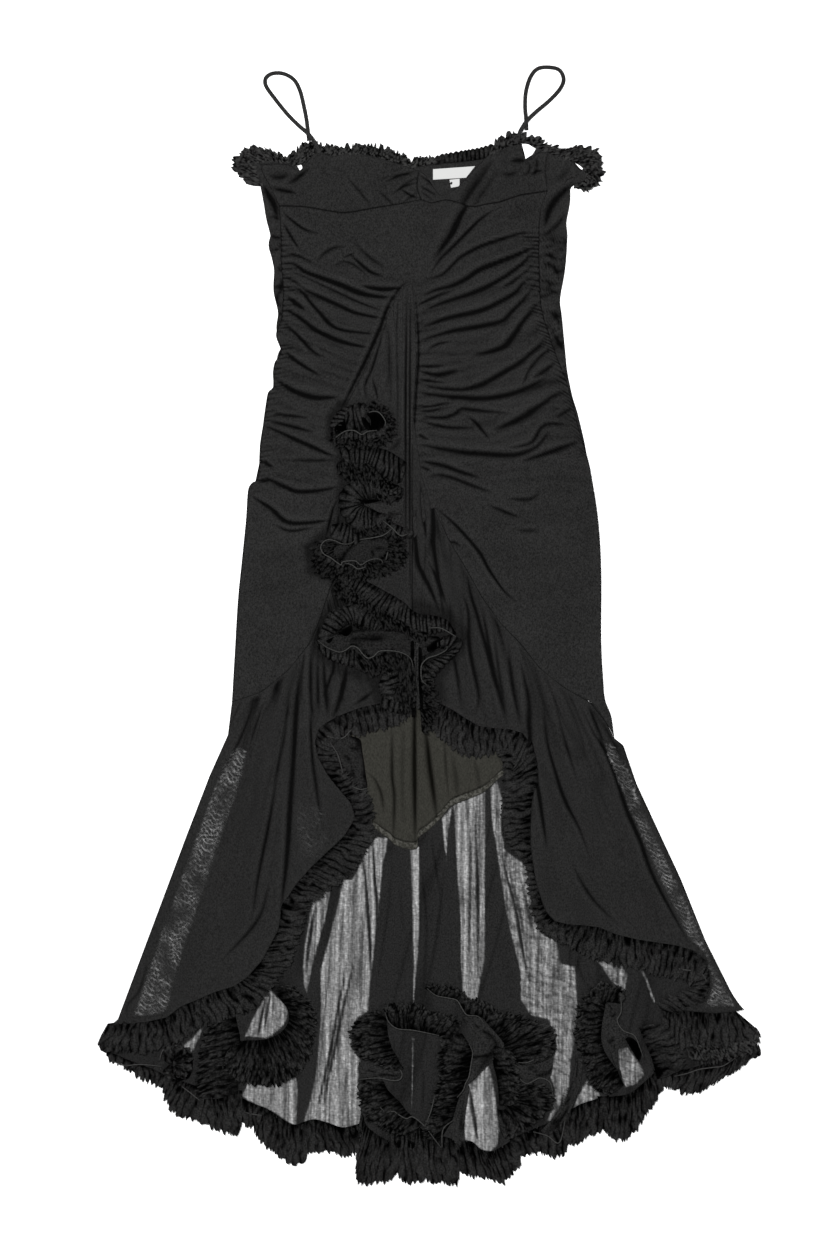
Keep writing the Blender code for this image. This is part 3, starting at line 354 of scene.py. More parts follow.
# An edge is a row of places in the picture, from left to right or from top to bottom.
BACK_NECK = [
    (258, 177), (253, 171), (253, 165), (258, 159.5), (272, 159.5), (286, 160), (293, 161),
    (296.5, 164.5), (296, 168), (297.5, 171), (299.5, 172), (302, 170), (302, 166.5), (301, 163),
    (304, 157), (314, 153.5), (328, 154.5), (345, 155), (360, 154), (378, 156), (395, 160), (405, 163.5),
    (413, 165), (425, 162.5), (440, 160), (460, 158), (480, 156), (495, 151), (505, 145), (514, 141),
    (521, 145), (524, 152), (526, 160), (530, 160), (534, 155), (535, 150), (540, 146), (546, 148),
    (553, 150), (563, 154), (571, 159.5), (575, 163), (579, 167.5), (582.5, 170), (584.5, 167),
    (589, 171), (589, 176),
]
BACK_LEFT = [
    (258, 177), (264, 187), (268, 205), (271, 225), (275, 243), (273, 253), (276, 265), (278, 278),
    (277, 297), (281, 318), (279, 335), (284, 352), (279, 362), (276, 388), (271, 400), (263, 445),
    (252, 500), (246, 560), (240, 650), (235, 700),
]
BACK_RIGHT = [
    (589, 176), (583, 182), (571, 188), (569.5, 205), (566, 225), (567, 240), (565, 270), (560, 300),
    (562, 320), (565, 350), (567, 370), (572, 395), (578, 415), (586, 450), (589, 480), (597, 520),
    (599, 640), (600, 700),
]
# A fold is its half width in pixels, its depth in mm and its places.
BACK_FOLDS = [
    (3.4, 1.8, [(577, 182), (566, 190), (556, 200), (549, 212), (545, 230)]),
    (2.8, 1.6, [(263, 184), (269, 195), (275, 206), (278, 222)]),
    (2.2, 1.0, [(567, 210), (560, 222), (550, 232), (541, 238)]),
    (1.4, 1.0, [(541, 247), (549, 247), (557, 245)]),
    (1.4, 1.0, [(542, 254), (550, 255), (558, 260)]),
    (1.8, 1.5, [(541, 264), (548, 264), (555, 269), (560, 277)]),
    (1.6, 1.2, [(541, 280), (552, 284), (560, 284)]),
    (1.6, 1.0, [(543, 291), (552, 291), (560, 295)]),
    (1.8, 1.0, [(548, 312), (556, 318), (562, 326)]),
    (1.8, 1.0, [(552, 332), (558, 340), (564, 352)]),
    (3.0, 0.5, [(573, 165), (563, 176), (553, 186)]),
    (1.6, 0.8, [(418, 168), (430, 164), (445, 162.5), (482, 161)]),
    (1.4, 0.8, [(268, 215), (275, 218), (280, 220)]),
    (1.4, 0.8, [(271, 235), (276, 238), (281, 240)]),
]
places = patch(BACK_NECK, [(235, 700), (420, 706), (600, 700)], BACK_LEFT, BACK_RIGHT, across=230, down=230)
lift, shade = folded(places, BACK_FOLDS)
x, y = places[..., 0], places[..., 1]
gathered = np.clip((y - 225) / 20, 0, 1) * np.clip((480 - y) / 20, 0, 1)
tucks = gathered * lines(uneven(y / 4.5 + x / 30, x / 16, seed=91), width=0.2)
height = BACK_LEVEL + 0.9 * lift + 0.15 * swell(places, size=40, seed=1)
height = height - 0.8 * tucks - 1.5 * rolled(places, width=3)
# Painted shade: the hollows and the tucks darken the cloth's colour, and raised places go pale as painted
# highlights.
shade = np.clip(shade + 0.7 * hollows(height) + 0.7 * tucks, PALEST, DARKEST)
back_body = add_cloth("back_body_cloth", places, np.maximum(height, BACK_LOWEST), jersey, crease=shade)
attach(back_body, "root")
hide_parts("back_body")


# The train: the long back skirt of sheer black mesh, cut flared and sewn under the back body. It lies on
# the table in soft folds. One layer lets the table show as grey, and each fold doubles or trebles it to
# black.

TRAIN_LEVEL, TRAIN_LOWEST, TRAIN_HIGHEST = 0.5, 0.15, 2.6
ONE_LAYER_SHOWS = 0.32


def inside(places, outline, soft=1.5):
    """1 inside a closed outline, 0 outside, and a smooth change between, this many pixels to each side."""
    flat = places.reshape(-1, 2)
    a = np.asarray(outline, float)
    run = np.roll(a, -1, axis=0) - a
    rest = flat[:, None] - a
    t = np.clip((rest * run).sum(axis=2) / (run**2).sum(axis=1), 0, 1)
    away = np.linalg.norm(rest - t[..., None] * run, axis=2).min(axis=1)
    crosses = (a[:, 1] > flat[:, None, 1]) != ((a + run)[:, 1] > flat[:, None, 1])
    rise = np.where(run[:, 1] == 0, 1, run[:, 1])
    within = (crosses & (flat[:, None, 0] < a[:, 0] + rest[..., 1] * run[:, 0] / rise)).sum(axis=1) % 2
    share = np.clip(np.where(within == 1, away, -away) / soft / 2 + 0.5, 0, 1)
    return (share * share * (3 - 2 * share)).reshape(places.shape[:2])


def sheer_mesh(name):
    """Mesh whose alpha is 1 less the share that one layer lets through, to the power of its layers. Noise
    drawn out along the folds varies them, and a crossed pair of fine noises is the moire of the net."""
    mesh = Finish(name, **MATT)
    # Painted shade: the colour turns dark in the creases and pull lines.
    share = (1 - mesh.mask("crease")) * (0.6 + 1.2 * (mesh.grain(700, 1, (1, 0.7, 1)) - 0.5))
    streaks = mesh.ramp(mesh.grain(90, 2, (2.6, 0.12, 1)), 0.36, 0.64)
    net = mesh.grain(520, 1, (1, 0.3, 1)) + mesh.grain(520, 1, (0.5, 1, 1))
    layers = mesh.mask("layers") * (0.72 + 0.42 * streaks + 0.7 * (net - 1))
    open_share = mesh.node("Math", {"operation": "POWER"}, [ONE_LAYER_SHOWS, layers])
    mesh.show(Base_Color=mesh.blend(BLACK, (0.0158, 0.0157, 0.0156), share), Alpha=1 - open_share)
    return mesh


black_mesh = sheer_mesh("black_mesh")
TRAIN_LEFT = [(236, 703), (226, 747), (204, 800), (174, 880), (144, 960), (116, 1026), (100, 1050)]
TRAIN_RIGHT = [
    (600, 703), (612, 735), (633, 785), (678, 882), (726, 990), (741, 1024), (757, 1036), (754, 1049),
]
TRAIN_HEM_LINE = [
    (100, 1050), (124, 1062), (145, 1073), (166, 1082), (188, 1092), (200, 1100), (215, 1103),
    (239, 1099), (255, 1107), (268, 1112), (280, 1120), (292, 1127), (303, 1126), (313, 1122),
    (327, 1125), (342, 1130), (356, 1127), (366, 1132), (380, 1143), (400, 1149), (420, 1150),
    (440, 1149), (455, 1144), (463, 1141), (471, 1144), (481, 1152), (492, 1154), (502, 1149),
    (517, 1142), (535, 1132), (552, 1125), (566, 1117), (578, 1108), (592, 1103), (603, 1099),
    (615, 1099), (630, 1096), (644, 1085), (656, 1074), (668, 1077), (685, 1073), (705, 1068),
    (725, 1063), (742, 1057), (754, 1049),
]
# Outlines of the places where the train is a single layer.
ONE_LAYER = [
    [(343, 878), (351, 879), (358, 866), (361, 861), (365, 850), (370, 842), (377, 836), (388, 837),
        (387, 853), (384, 862), (382, 880), (380, 900), (377, 930), (374, 960), (370, 990), (369, 1012),
        (358, 1018), (353, 1030), (353, 1048), (362, 1060), (359, 1080), (361, 1092), (364, 1108),
        (365, 1130), (340, 1133), (322, 1126), (311, 1128), (300, 1130), (305, 1115), (311, 1095),
        (315, 1070), (318, 1040), (320, 1005), (320, 970), (325, 950), (333, 920), (339, 895)],
    [(312, 896), (326, 890), (331, 891), (328, 910), (323, 930), (317, 950), (312, 972), (307, 997),
        (303, 984), (302, 965), (304, 945), (308, 922)],
    [(241, 1096), (247, 1082), (258, 1079), (273, 1082), (285, 1081), (297, 1075), (299, 1090),
        (297, 1126), (290, 1124), (283, 1120), (272, 1112), (258, 1106), (247, 1101)],
    [(409, 846), (420, 846), (420, 900), (420, 930), (418, 960), (416, 985), (414, 1006), (412, 1005),
        (413, 960), (412, 930), (411, 890)],
    [(441, 818), (449, 808), (453, 806), (449, 830), (447, 864), (444, 850)],
    [(453, 804), (486, 790), (486, 850), (485, 880), (486, 925), (485, 960), (478, 1000), (462, 1006),
        (460, 960), (460, 925), (458, 900), (455, 850)],
    [(489, 788), (497, 778), (503, 800), (503, 835), (506, 850), (520, 860), (526, 863), (530, 880),
        (533, 910), (538, 925), (545, 935), (557, 940), (562, 963), (575, 966), (577, 985), (578, 1005),
        (576, 1040), (572, 1060), (570, 1085), (564, 1105), (552, 1122), (545, 1122), (552, 1108),
        (554, 1090), (549, 1075), (552, 1062), (556, 1045), (548, 1020), (530, 1016), (520, 1000),
        (520, 975), (513, 945), (507, 920), (501, 885), (496, 850), (491, 820)],
    [(467, 1083), (475, 1078), (488, 1062), (492, 1072), (496, 1095), (500, 1130), (498, 1146),
        (490, 1153), (481, 1151), (471, 1143), (464, 1140), (463, 1110)],
    [(596, 960), (612, 960), (622, 964), (628, 975), (626, 990), (620, 993), (608, 978)],
    [(617, 1048), (628, 1046), (634, 1055), (641, 1063), (645, 1075), (636, 1085), (625, 1088),
        (619, 1072)],
    [(587, 1077), (592, 1085), (600, 1092), (602, 1099), (592, 1103), (572, 1110), (576, 1098)],
    [(262, 1000), (265, 992), (270, 987), (276, 995), (286, 1004), (289, 1013), (286, 1024), (278, 1032),
        (268, 1039), (244, 1037), (250, 1022), (256, 1010)],
    [(182, 1045), (192, 1037), (200, 1027), (205, 1027), (199, 1040), (193, 1052), (190, 1060),
        (186, 1052)],
    [(412, 1037), (414.5, 1037), (414, 1070), (412.5, 1110), (410.5, 1110), (411, 1070)],
    [(290, 792), (328, 798), (334, 840), (316, 868), (290, 870)],
    [(640, 968), (642, 967), (655, 1003), (654, 1004)],
    [(236, 730), (252, 742), (242, 800), (225, 870), (205, 940), (190, 985), (165, 1010), (118, 1020),
        (146, 950), (176, 870), (205, 795), (226, 745)],
    [(606, 730), (622, 742), (640, 790), (680, 876), (725, 985), (742, 1015), (712, 1010), (680, 1008),
        (690, 1000), (712, 985), (703, 955), (690, 950), (660, 890), (630, 820)],
    [(639.6, 966), (642.4, 965), (655.8, 1001), (653.8, 1003)],
]
TRAIN_FOLDS = [
    (1.3, 1.0, [(394, 845), (391, 880), (389, 905), (384, 940), (379, 970), (375, 1000)]),
    (1.3, 0.7, [(398, 880), (402, 905), (404, 935)]),
    (1.1, 0.9, [(373, 838), (374, 860), (375, 880), (377, 900), (377, 930)]),
    (1.2, 1.1, [(362, 856), (366, 880), (368, 910), (370, 940), (371, 975)]),
    (1.4, 1.1, [(422, 845), (423, 880), (426, 905), (427, 930), (425, 970), (422, 1003)]),
    (1.2, 1.2, [(431, 832), (435, 860), (439, 885), (441, 902)]),
    (1.4, 1.3, [(446, 860), (443, 885), (441, 905), (438, 930), (433, 960), (427, 985), (424, 1003)]),
    (1.2, 0.5, [(470, 812), (471, 860), (470, 905), (469, 960)]),
    (1.3, 0.7, [(475, 803), (477, 860), (478, 905), (478, 980)]),
    (1.0, 0.9, [(348, 955), (343, 985), (338, 1010), (331, 1050), (322, 1090), (314, 1125)]),
    (1.0, 0.9, [(355, 957), (349, 985), (343, 1010), (335, 1050), (328, 1080), (322, 1118)]),
    (1.2, 0.9, [(501, 850), (508, 880), (515, 905), (522, 945), (530, 985)]),
    (1.5, 0.4, [(508, 860), (513, 885), (520, 910), (527, 955)]),
    (1.6, 0.4, [(518, 870), (526, 900), (535, 940)]),
    (1.4, 1.2, [(470, 1088), (474, 1115), (478, 1140)]),
    (1.0, 1.0, [(268, 990), (263, 1012), (258, 1036)]),
    (1.0, 0.6, [(272, 990), (267, 1012), (264, 1036)]),
    (1.3, 1.0, [(316, 905), (310, 940), (306, 975)]),
    (1.5, 1.2, [(420, 1060), (424, 1080), (422, 1118)]),
    (1.4, 0.9, [(393, 1036), (396, 1056), (401, 1068)]),
    (1.6, 1.0, [(577, 950), (580, 970), (590, 990)]),
    (1.6, 0.8, [(605, 1020), (611, 1045), (618, 1068)]),
    (1.4, 0.8, [(565, 1090), (560, 1110), (548, 1124)]),
    (1.6, 0.8, [(640, 1010), (650, 1040), (662, 1062)]),
]
# The two strips and the speckled patch that are sheer in the flounces. The train is thin there too.
SHEER_LEFT = [
    (230, 752), (237, 747), (248, 750), (242, 775), (235, 800), (222, 835), (210, 870), (199, 905),
    (187, 940), (179, 965), (170, 1000), (165, 1015), (132, 1018), (139, 997), (151, 962), (163, 925),
    (176, 890), (188, 858), (200, 825), (211, 795), (222, 765),
]
SHEER_RIGHT = [
    (600, 738), (614, 744), (625, 762), (640, 800), (662, 850), (688, 905), (712, 962), (734, 1006),
    (690, 1009), (712, 985), (703, 952), (688, 938), (660, 880), (640, 835), (620, 790), (606, 756),
]
SPECKLED = [(296, 800), (326, 805), (330, 840), (318, 858), (294, 862)]
train_top = [(236, 703), (420, 703), (600, 703)]
places = patch(train_top, TRAIN_HEM_LINE, TRAIN_LEFT, TRAIN_RIGHT, across=400, down=240)
x, y = places[..., 0], places[..., 1]
lift, shade = folded(places, TRAIN_FOLDS)
open_part = np.clip(sum(inside(places, outline) for outline in ONE_LAYER), 0, 1)
height = TRAIN_LEVEL + 0.6 * np.maximum(lift, 0) + 0.25 * swell(places, size=34, seed=2, lean=(1, 0.25))
height = height + 0.6 * (1 - open_part)
outlines = (SHEER_LEFT, SHEER_RIGHT, SPECKLED)
thin = np.clip(sum(inside(places, outline, soft=3) for outline in outlines), 0, 1)
layers = 1.0 + 4 * (1 - open_part) + 5 * shade - 0.25 * np.maximum(lift, 0)
strands = lines(uneven(x / 4.5 + y / 90, y / 95, seed=72), width=0.16)
ripples = lines(uneven(x / 14 + 3, y / 4.2 - x / 16, seed=73), width=0.22)
on_right = np.clip((x - 490) / 12, 0, 1)
layers = layers + open_part * (0.4 * strands + 0.45 * ripples * on_right)
layers = layers + (0.25 - layers) * thin
pulls = lines(uneven(x / 15 + y / 70, y / 130, seed=71), width=0.14)
# Painted shade: creases, pull lines and hollows darken the mesh's colour, and raised places go pale as
# painted highlights.
shade = np.clip(0.7 * shade + 0.4 * pulls + 0.6 * hollows(height), PALEST, 0.85)
height = np.clip(height, TRAIN_LOWEST, TRAIN_HIGHEST)
train = add_cloth("train_cloth", places, height, black_mesh, layers=layers, crease=shade)
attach(train, "root")
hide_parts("train")


# The back lining: olive-black jersey under the back skirt to above the knee, its hem turned up on both
# sides to a point and closed with a pale overlock band.

LINING_LEVEL, LINING_LOWEST = 2.0, 1.35
# How far the band of stitches lies from the hem, in pixels.
BAND_FROM, BAND_TO = 1, 6.5


def olive_knit(name):
    """Jersey with painted shade that makes it darker in its creases, with a pale speckled band of stitches
    along its hem.
    """
    knit = Finish(name, **MATT)
    fine = knit.grain(700, 1, (1, 0.6, 1))
    share = (1 - knit.mask("crease")) * (0.66 + 0.9 * (fine - 0.5))
    stitches = knit.mask("edge") * knit.ramp(knit.grain(330, 2), 0.44, 0.6)
    cloth = knit.blend((0.002, 0.002, 0.0015), (0.0268, 0.0263, 0.0224), share)
    cloth = knit.blend(cloth, (0.046, 0.045, 0.04), stitches)
    knit.show(Base_Color=cloth, Normal=knit.raised(fine + 2 * stitches, 0.0001))
    return knit


olive = olive_knit("olive_lining")
LINING_HEM = [
    (350, 818), (373, 828), (383, 835), (390, 840), (395, 845), (405, 848.5), (414, 849.5), (417.5, 847),
    (418.5, 838), (430, 829), (441, 818), (450, 807), (460, 802), (480, 794), (490, 787), (497, 780),
    (508, 772),
]
LINING_FOLDS = [
    (3.0, 1.9, [(414, 690), (414.8, 720), (415, 775), (415.5, 850)]),
    (3.4, 1.5, [(422, 715), (427, 740), (430, 765), (434, 795), (438, 825)]),
    (1.8, 0.7, [(444, 735), (446, 765), (449, 800)]),
    (2.0, 1.1, [(392, 722), (392.5, 777), (394.7, 797), (393, 845)]),
    (1.8, 0.9, [(368, 772), (376, 781), (382, 796), (384, 815)]),
    (3.0, 0.6, [(452, 755), (456, 775), (458, 800)]),
    (2.5, 0.5, [(404, 720), (403, 780), (404, 830)]),
    (2.5, 0.5, [(474, 757), (478, 775), (480, 792)]),
]
places = patch(
    top=[(322, 648), (410, 648), (500, 648)],
    bottom=LINING_HEM,
    left=[(322, 648), (338, 700), (346, 760), (350, 818)],
    right=[(500, 648), (506, 700), (512, 740), (508, 772)],
    across=120,
    down=110,
)
lift, shade = folded(places, LINING_FOLDS)
height = LINING_LEVEL + 0.6 * lift + 0.2 * swell(places, size=40, seed=3, lean=(1, 0.4))
height = height - 0.8 * rolled(places, width=3, sides="b")
from_hem = np.linalg.norm(places - places[-1:], axis=2)
seam = np.exp(-(((from_hem - 7.2) / 1.1) ** 2))
# Painted shade: the creases and hollows darken the lining's colour, and so does a line about 7 pixels up
# from the hem.
shade = np.clip(shade + 0.9 * hollows(height) + 0.8 * seam, 0, 1)
band = ((from_hem > BAND_FROM) & (from_hem < BAND_TO)) * 1.0
height = np.maximum(height, LINING_LOWEST)
lining = add_cloth("back_lining_cloth", places, height, olive, crease=shade, edge=band)
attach(lining, "root")
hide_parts("back_lining")


# The front body: one long panel of black jersey, ruched into both side seams so that it lies in many
# uneven rolls across the waist, plain over the hips, and cut away below along the curved yoke.

FRONT_LEVEL, FRONT_LOWEST = 3.6, 2.4
BUST_SEAM = [
    (279, 206), (305, 207), (335, 212), (350, 212.5), (375, 208), (400, 204), (421, 200), (432, 203),
    (445, 200), (456, 202), (466, 205.5), (475, 206.5), (488, 204), (500, 202), (520, 195.5), (535, 193),
    (548, 191),
]
FRONT_LEFT = [
    (279, 206), (281, 240), (281, 260), (283, 285), (283, 300), (281, 320), (276, 335), (281, 352),
    (275, 362), (273, 372), (273, 387), (268, 393), (265, 410), (263, 425), (260, 445), (258, 477),
    (252, 483), (248, 491), (246, 520), (242, 560), (238, 600), (235, 650), (232, 702),
]
FRONT_RIGHT = [
    (548, 191), (544, 202), (541, 212), (539, 240), (540, 290), (542, 310), (549, 335), (556, 355),
    (564, 375), (572, 400), (579, 430), (588, 460), (592, 480), (598, 520), (601, 570), (601, 640),
    (603, 680), (605, 700), (611, 716), (614, 738),
]
# The curved seam that the flounces hang from.
YOKE = [
    (232, 702), (261, 692), (288, 670), (309, 644), (318, 624), (326, 600), (332, 584), (345, 572),
    (370, 560), (412, 540), (434, 508), (449, 540), (467, 570), (482, 597), (500, 622), (520, 643),
    (540, 668), (565, 688), (590, 702), (606, 722), (614, 738),
]
FRONT_FOLDS = [
    (1.2, 0.6, [(281, 255), (290, 254), (300, 257), (315, 264)]),
    (2.2, 1.8, [(283, 264), (295, 265), (305, 272), (320, 278), (340, 285), (360, 293), (380, 297),
        (398, 297)]),
    (2.0, 1.6, [(360, 286), (380, 290), (402, 288)]),
    (1.3, 0.8, [(284, 268), (310, 280), (345, 296), (365, 305), (390, 314)]),
    (1.6, 1.2, [(283, 279), (293, 281), (305, 290), (320, 297), (340, 306), (355, 313), (385, 320)]),
    (1.6, 1.2, [(283, 288), (295, 288), (303, 293), (311, 303), (320, 313), (335, 328), (360, 333),
        (380, 334)]),
    (2.0, 1.4, [(286, 296), (295, 303), (305, 310)]),
    (2.0, 1.7, [(284, 308), (298, 317), (320, 333), (345, 343), (372, 349)]),
    (1.5, 1.0, [(281, 320), (300, 338), (316, 354), (328, 356)]),
    (1.6, 1.1, [(282, 349), (300, 364), (322, 377)]),
    (2.6, 1.4, [(275, 379), (293, 391), (315, 398), (340, 397)]),
    (1.4, 0.8, [(272, 413), (290, 416), (310, 418)]),
    (1.6, 1.0, [(265, 420), (293, 427), (315, 433)]),
    (1.6, 1.5, [(263, 425), (290, 437), (310, 446), (325, 453), (342, 459)]),
    (2.0, 0.6, [(280, 460), (310, 461), (340, 460)]),
    (1.4, 1.0, [(259, 460), (267, 464), (275, 468)]),
    (1.8, 1.3, [(258, 474), (285, 487), (300, 492), (330, 489), (340, 484)]),
    (1.5, 1.0, [(257, 481), (264, 481), (270, 481)]),
    (1.8, 1.4, [(248, 494), (270, 508), (290, 523), (325, 521), (332, 519)]),
    (1.4, 0.8, [(272, 523), (290, 531), (316, 527)]),
    (1.4, 1.1, [(337, 500), (333, 510), (328, 530), (325, 540)]),
    (1.2, 0.9, [(339, 512), (338, 525), (334, 537)]),
    (1.3, 0.8, [(281, 210), (290, 219), (305, 230), (320, 234)]),
    (1.4, 0.8, [(283, 222), (292, 238), (300, 250)]),
    (1.6, 0.6, [(316, 264), (324, 254), (335, 248), (347, 247)]),
    (1.1, 0.5, [(342, 259), (348, 256), (356, 253)]),
    (1.7, 1.0, [(350, 254), (360, 264), (370, 272), (384, 277)]),
    (1.9, 0.5, [(354, 243), (370, 258), (388, 270)]),
    (1.2, 0.5, [(330, 268), (345, 262), (358, 268), (370, 279)]),
    (3.8, 1.4, [(476, 192), (462, 214), (452, 235), (443, 248), (432, 265)]),
    (1.8, 1.1, [(497, 208), (480, 220), (465, 235), (450, 250), (440, 260), (430, 275)]),
    (1.6, 1.2, [(538, 233), (520, 234), (500, 240), (480, 247), (460, 258), (450, 268), (440, 276),
        (424, 279)]),
    (1.1, 0.6, [(522, 238), (530, 238), (538, 239)]),
    (2.2, 1.8, [(540, 245), (515, 256), (495, 264), (480, 270), (465, 280), (450, 287), (435, 291),
        (420, 298)]),
    (1.3, 0.8, [(455, 290), (440, 295), (425, 302), (415, 308)]),
    (2.0, 1.7, [(539, 252), (530, 256), (520, 266), (505, 277), (485, 288), (465, 296), (440, 304),
        (420, 313)]),
    (1.4, 0.9, [(537, 260), (528, 270), (515, 280), (500, 290)]),
    (2.0, 1.6, [(538, 276), (525, 282), (515, 293), (500, 302), (480, 311), (450, 318), (418, 329)]),
    (2.0, 1.6, [(536, 285), (525, 298), (512, 312), (498, 323), (455, 331), (419, 341)]),
    (2.4, 1.6, [(540, 302), (526, 318), (512, 338), (500, 349), (470, 356)]),
    (2.2, 1.7, [(549, 333), (530, 355), (495, 378), (465, 390), (435, 388), (418, 383)]),
    (1.2, 0.7, [(425, 354), (436, 345), (450, 342)]),
    (1.2, 0.8, [(418, 366), (432, 367), (445, 366)]),
    (1.8, 1.4, [(418, 371), (437, 375), (458, 370)]),
    (1.2, 0.9, [(418, 379), (433, 382), (448, 383)]),
    (2.2, 1.8, [(415, 392), (440, 396), (480, 399), (500, 397), (521, 391), (548, 377)]),
    (1.4, 1.0, [(555, 345), (532, 366), (522, 388)]),
    (2.0, 1.2, [(556, 362), (545, 371), (533, 378)]),
    (2.6, 1.3, [(567, 390), (550, 399), (525, 416), (493, 431)]),
    (1.2, 0.8, [(415, 405), (430, 407), (445, 404), (455, 403)]),
    (1.2, 0.8, [(415, 411), (430, 411), (445, 407)]),
    (1.6, 1.2, [(416, 415), (430, 417), (445, 418), (455, 414), (462, 409), (480, 411), (513, 414)]),
    (1.4, 1.0, [(418, 421), (435, 425), (450, 428), (475, 428)]),
    (1.4, 0.9, [(465, 415), (475, 422), (482, 430), (490, 440)]),
    (1.2, 0.8, [(418, 434), (424, 438), (430, 440)]),
    (1.4, 0.9, [(573, 408), (564, 413), (555, 418)]),
    (2.2, 1.9, [(420, 445), (440, 449), (460, 452), (480, 454), (515, 455), (538, 446), (550, 428)]),
    (1.6, 1.2, [(500, 449), (530, 444), (545, 425), (574, 426)]),
    (2.0, 1.5, [(580, 441), (540, 456), (520, 462)]),
    (1.8, 1.5, [(420, 461), (440, 465), (460, 472), (480, 478)]),
    (1.2, 0.8, [(420, 467), (426, 469), (432, 471)]),
    (1.6, 1.0, [(425, 477), (440, 475), (455, 479), (470, 485), (495, 494)]),
    (1.4, 0.9, [(507, 499), (530, 499), (541, 491)]),
    (1.4, 0.8, [(488, 505), (505, 512), (520, 518)]),
    (1.6, 0.6, [(515, 530), (528, 531), (540, 530)]),
    (1.6, 1.2, [(434, 507), (450, 520), (465, 535), (480, 553), (490, 571), (505, 592), (518, 603)]),
    (1.2, 0.7, [(445, 541), (455, 543), (461, 547)]),
    (1.7, 1.5, [(411, 281), (403, 285), (393, 298), (386, 312), (380, 329), (368, 356), (354, 384),
        (340, 412)]),
    (1.3, 1.1, [(414, 288), (416, 302), (418.5, 338), (418.5, 360), (416, 396), (414.5, 425),
        (413.5, 470)]),
]


def puckered(places, side, rows, seed):
    """Small pleats that a gathered side seam pulls into the cloth: a cosine along the seam, uneven in its
    length, that fades out over 9 pixels away from the seam, and only between the two given rows."""
    edge = places[:, :1] if side == "l" else places[:, -1:]
    along = np.append(0, np.cumsum(np.linalg.norm(np.diff(edge[:, 0], axis=0), axis=1)))
    wander = np.random.default_rng(seed).uniform(0, 6.3, 2)
    beat = along / 4.6 + 0.5 * np.sin(along / 19 + wander[0]) + 0.4 * np.sin(along / 8.3 + wander[1])
    away = np.linalg.norm(places - edge, axis=2)
    held = np.clip((edge[..., 1] - rows[0]) / 14, 0, 1) * np.clip((rows[1] - edge[..., 1]) / 14, 0, 1)
    return np.cos(2 * np.pi * beat)[:, None] * np.exp(-away / 9) * held


# Where the cascade and the centre drape cover the panels: the cloth lies flat there. Under and just around
# the cascade a painted shadow darkens it too.
UNDER_CASCADE = [
    (338, 400), (372, 396), (398, 408), (403, 440), (410, 456), (411, 530), (414, 552), (406, 578),
    (412, 598), (450, 608), (470, 636), (462, 656), (442, 680), (446, 700), (436, 726), (420, 730),
    (420, 706), (374, 712), (370, 684), (340, 676), (312, 654), (312, 634), (326, 604), (334, 594),
    (330, 582), (306, 574), (304, 546), (322, 530), (334, 520), (338, 484), (338, 452), (327, 440),
    (327, 416),
]
UNDER_DRAPE = [
    (411, 292), (406, 292), (398, 303), (392, 316), (386, 333), (374, 359), (361, 387), (349, 414),
    (352, 440), (356, 480), (358, 520), (356, 560), (410, 600), (410, 470), (411, 400), (413, 360),
    (413, 320),
]


def ruched(places):
    """(height, tightness) of the rolls that a ruched panel hangs in. A roll leaves its side seam at one
    height and drops towards the centre, so the height it left at numbers it: |sin| of that number makes the
    rolls, whose spacing a noise shifts, and the lines of two drawn-out noises are the wrinkles between."""
    x, y = places[..., 0], places[..., 1]
    drop = np.interp(y, [290, 360, 450, 520], [52, 50, 26, 6]) * np.clip((545 - x) / 127, 0, 1) ** 0.75
    from_right = y - drop
    drop = np.interp(y, [300, 400, 480, 560], [36, 36, 24, 10]) * np.clip((x - 279) / 122, 0, 1) ** 0.85
    from_left = y - drop
    right = np.clip((x - 398) / 12, 0, 1)
    start = from_left + (from_right - from_left) * right
    left_share = np.clip((start - 246) / 22, 0, 1)
    left_share = left_share * np.interp(start, [240, 330, 380, 470, 540], [1, 1, 0.55, 0.45, 0])
    bunched = 0.5 + 0.5 * np.exp(-np.abs(x - 281) / 22) + 0.5 * np.exp(-np.abs(x - 385) / 30)
    left_share = left_share * bunched
    right_share = np.clip((start - 226) / 30, 0, 1)
    right_share = right_share * np.interp(start, [240, 400, 455, 520], [1, 1, 0.6, 0])
    bunched = 0.5 + 0.6 * np.exp(-np.abs(x - 418) / 26) + 0.5 * np.exp(-np.abs(x - 541) / 20)
    right_share = right_share * bunched
    tight = left_share + (right_share - left_share) * right
    number = start / 12.5 + 1.5 * uneven(start / 26, x / 60, seed=31)
    number = number + 0.25 * uneven(start / 9, x / 25, seed=35)
    rolls = np.abs(np.sin(np.pi * number)) ** 0.75
    wrinkles = lines(uneven(start / 5, x / 34, seed=32), width=0.16)
    wrinkles = wrinkles + lines(uneven(start / 10, x / 60, seed=33), width=0.12)
    return tight * (1.1 * rolls - 0.45 * wrinkles), tight


places = patch(BUST_SEAM, YOKE, FRONT_LEFT, FRONT_RIGHT, across=290, down=280)
lift, shade = folded(places, FRONT_FOLDS)
rolls, tight = ruched(places)
pleats = puckered(places, "l", rows=(225, 500), seed=4)
pleats = pleats + 1.4 * puckered(places, "r", rows=(224, 470), seed=5)
hidden = inside(places, UNDER_DRAPE, soft=3) + 0.8 * inside(places, UNDER_CASCADE, soft=4)
hidden = np.clip(hidden, 0, 1)
lift, rolls = lift * (1 - hidden), rolls * (1 - hidden)
height = FRONT_LEVEL - 0.8 * hidden + 1.6 * lift + rolls
height = height + (0.25 + 0.3 * tight) * swell(places, size=42, seed=6, lean=(0.5, 1.3)) + 0.9 * pleats
height = height - 1.7 * rolled(places, width=3, sides="lr") - 0.6 * rolled(places, width=2, sides="tb")
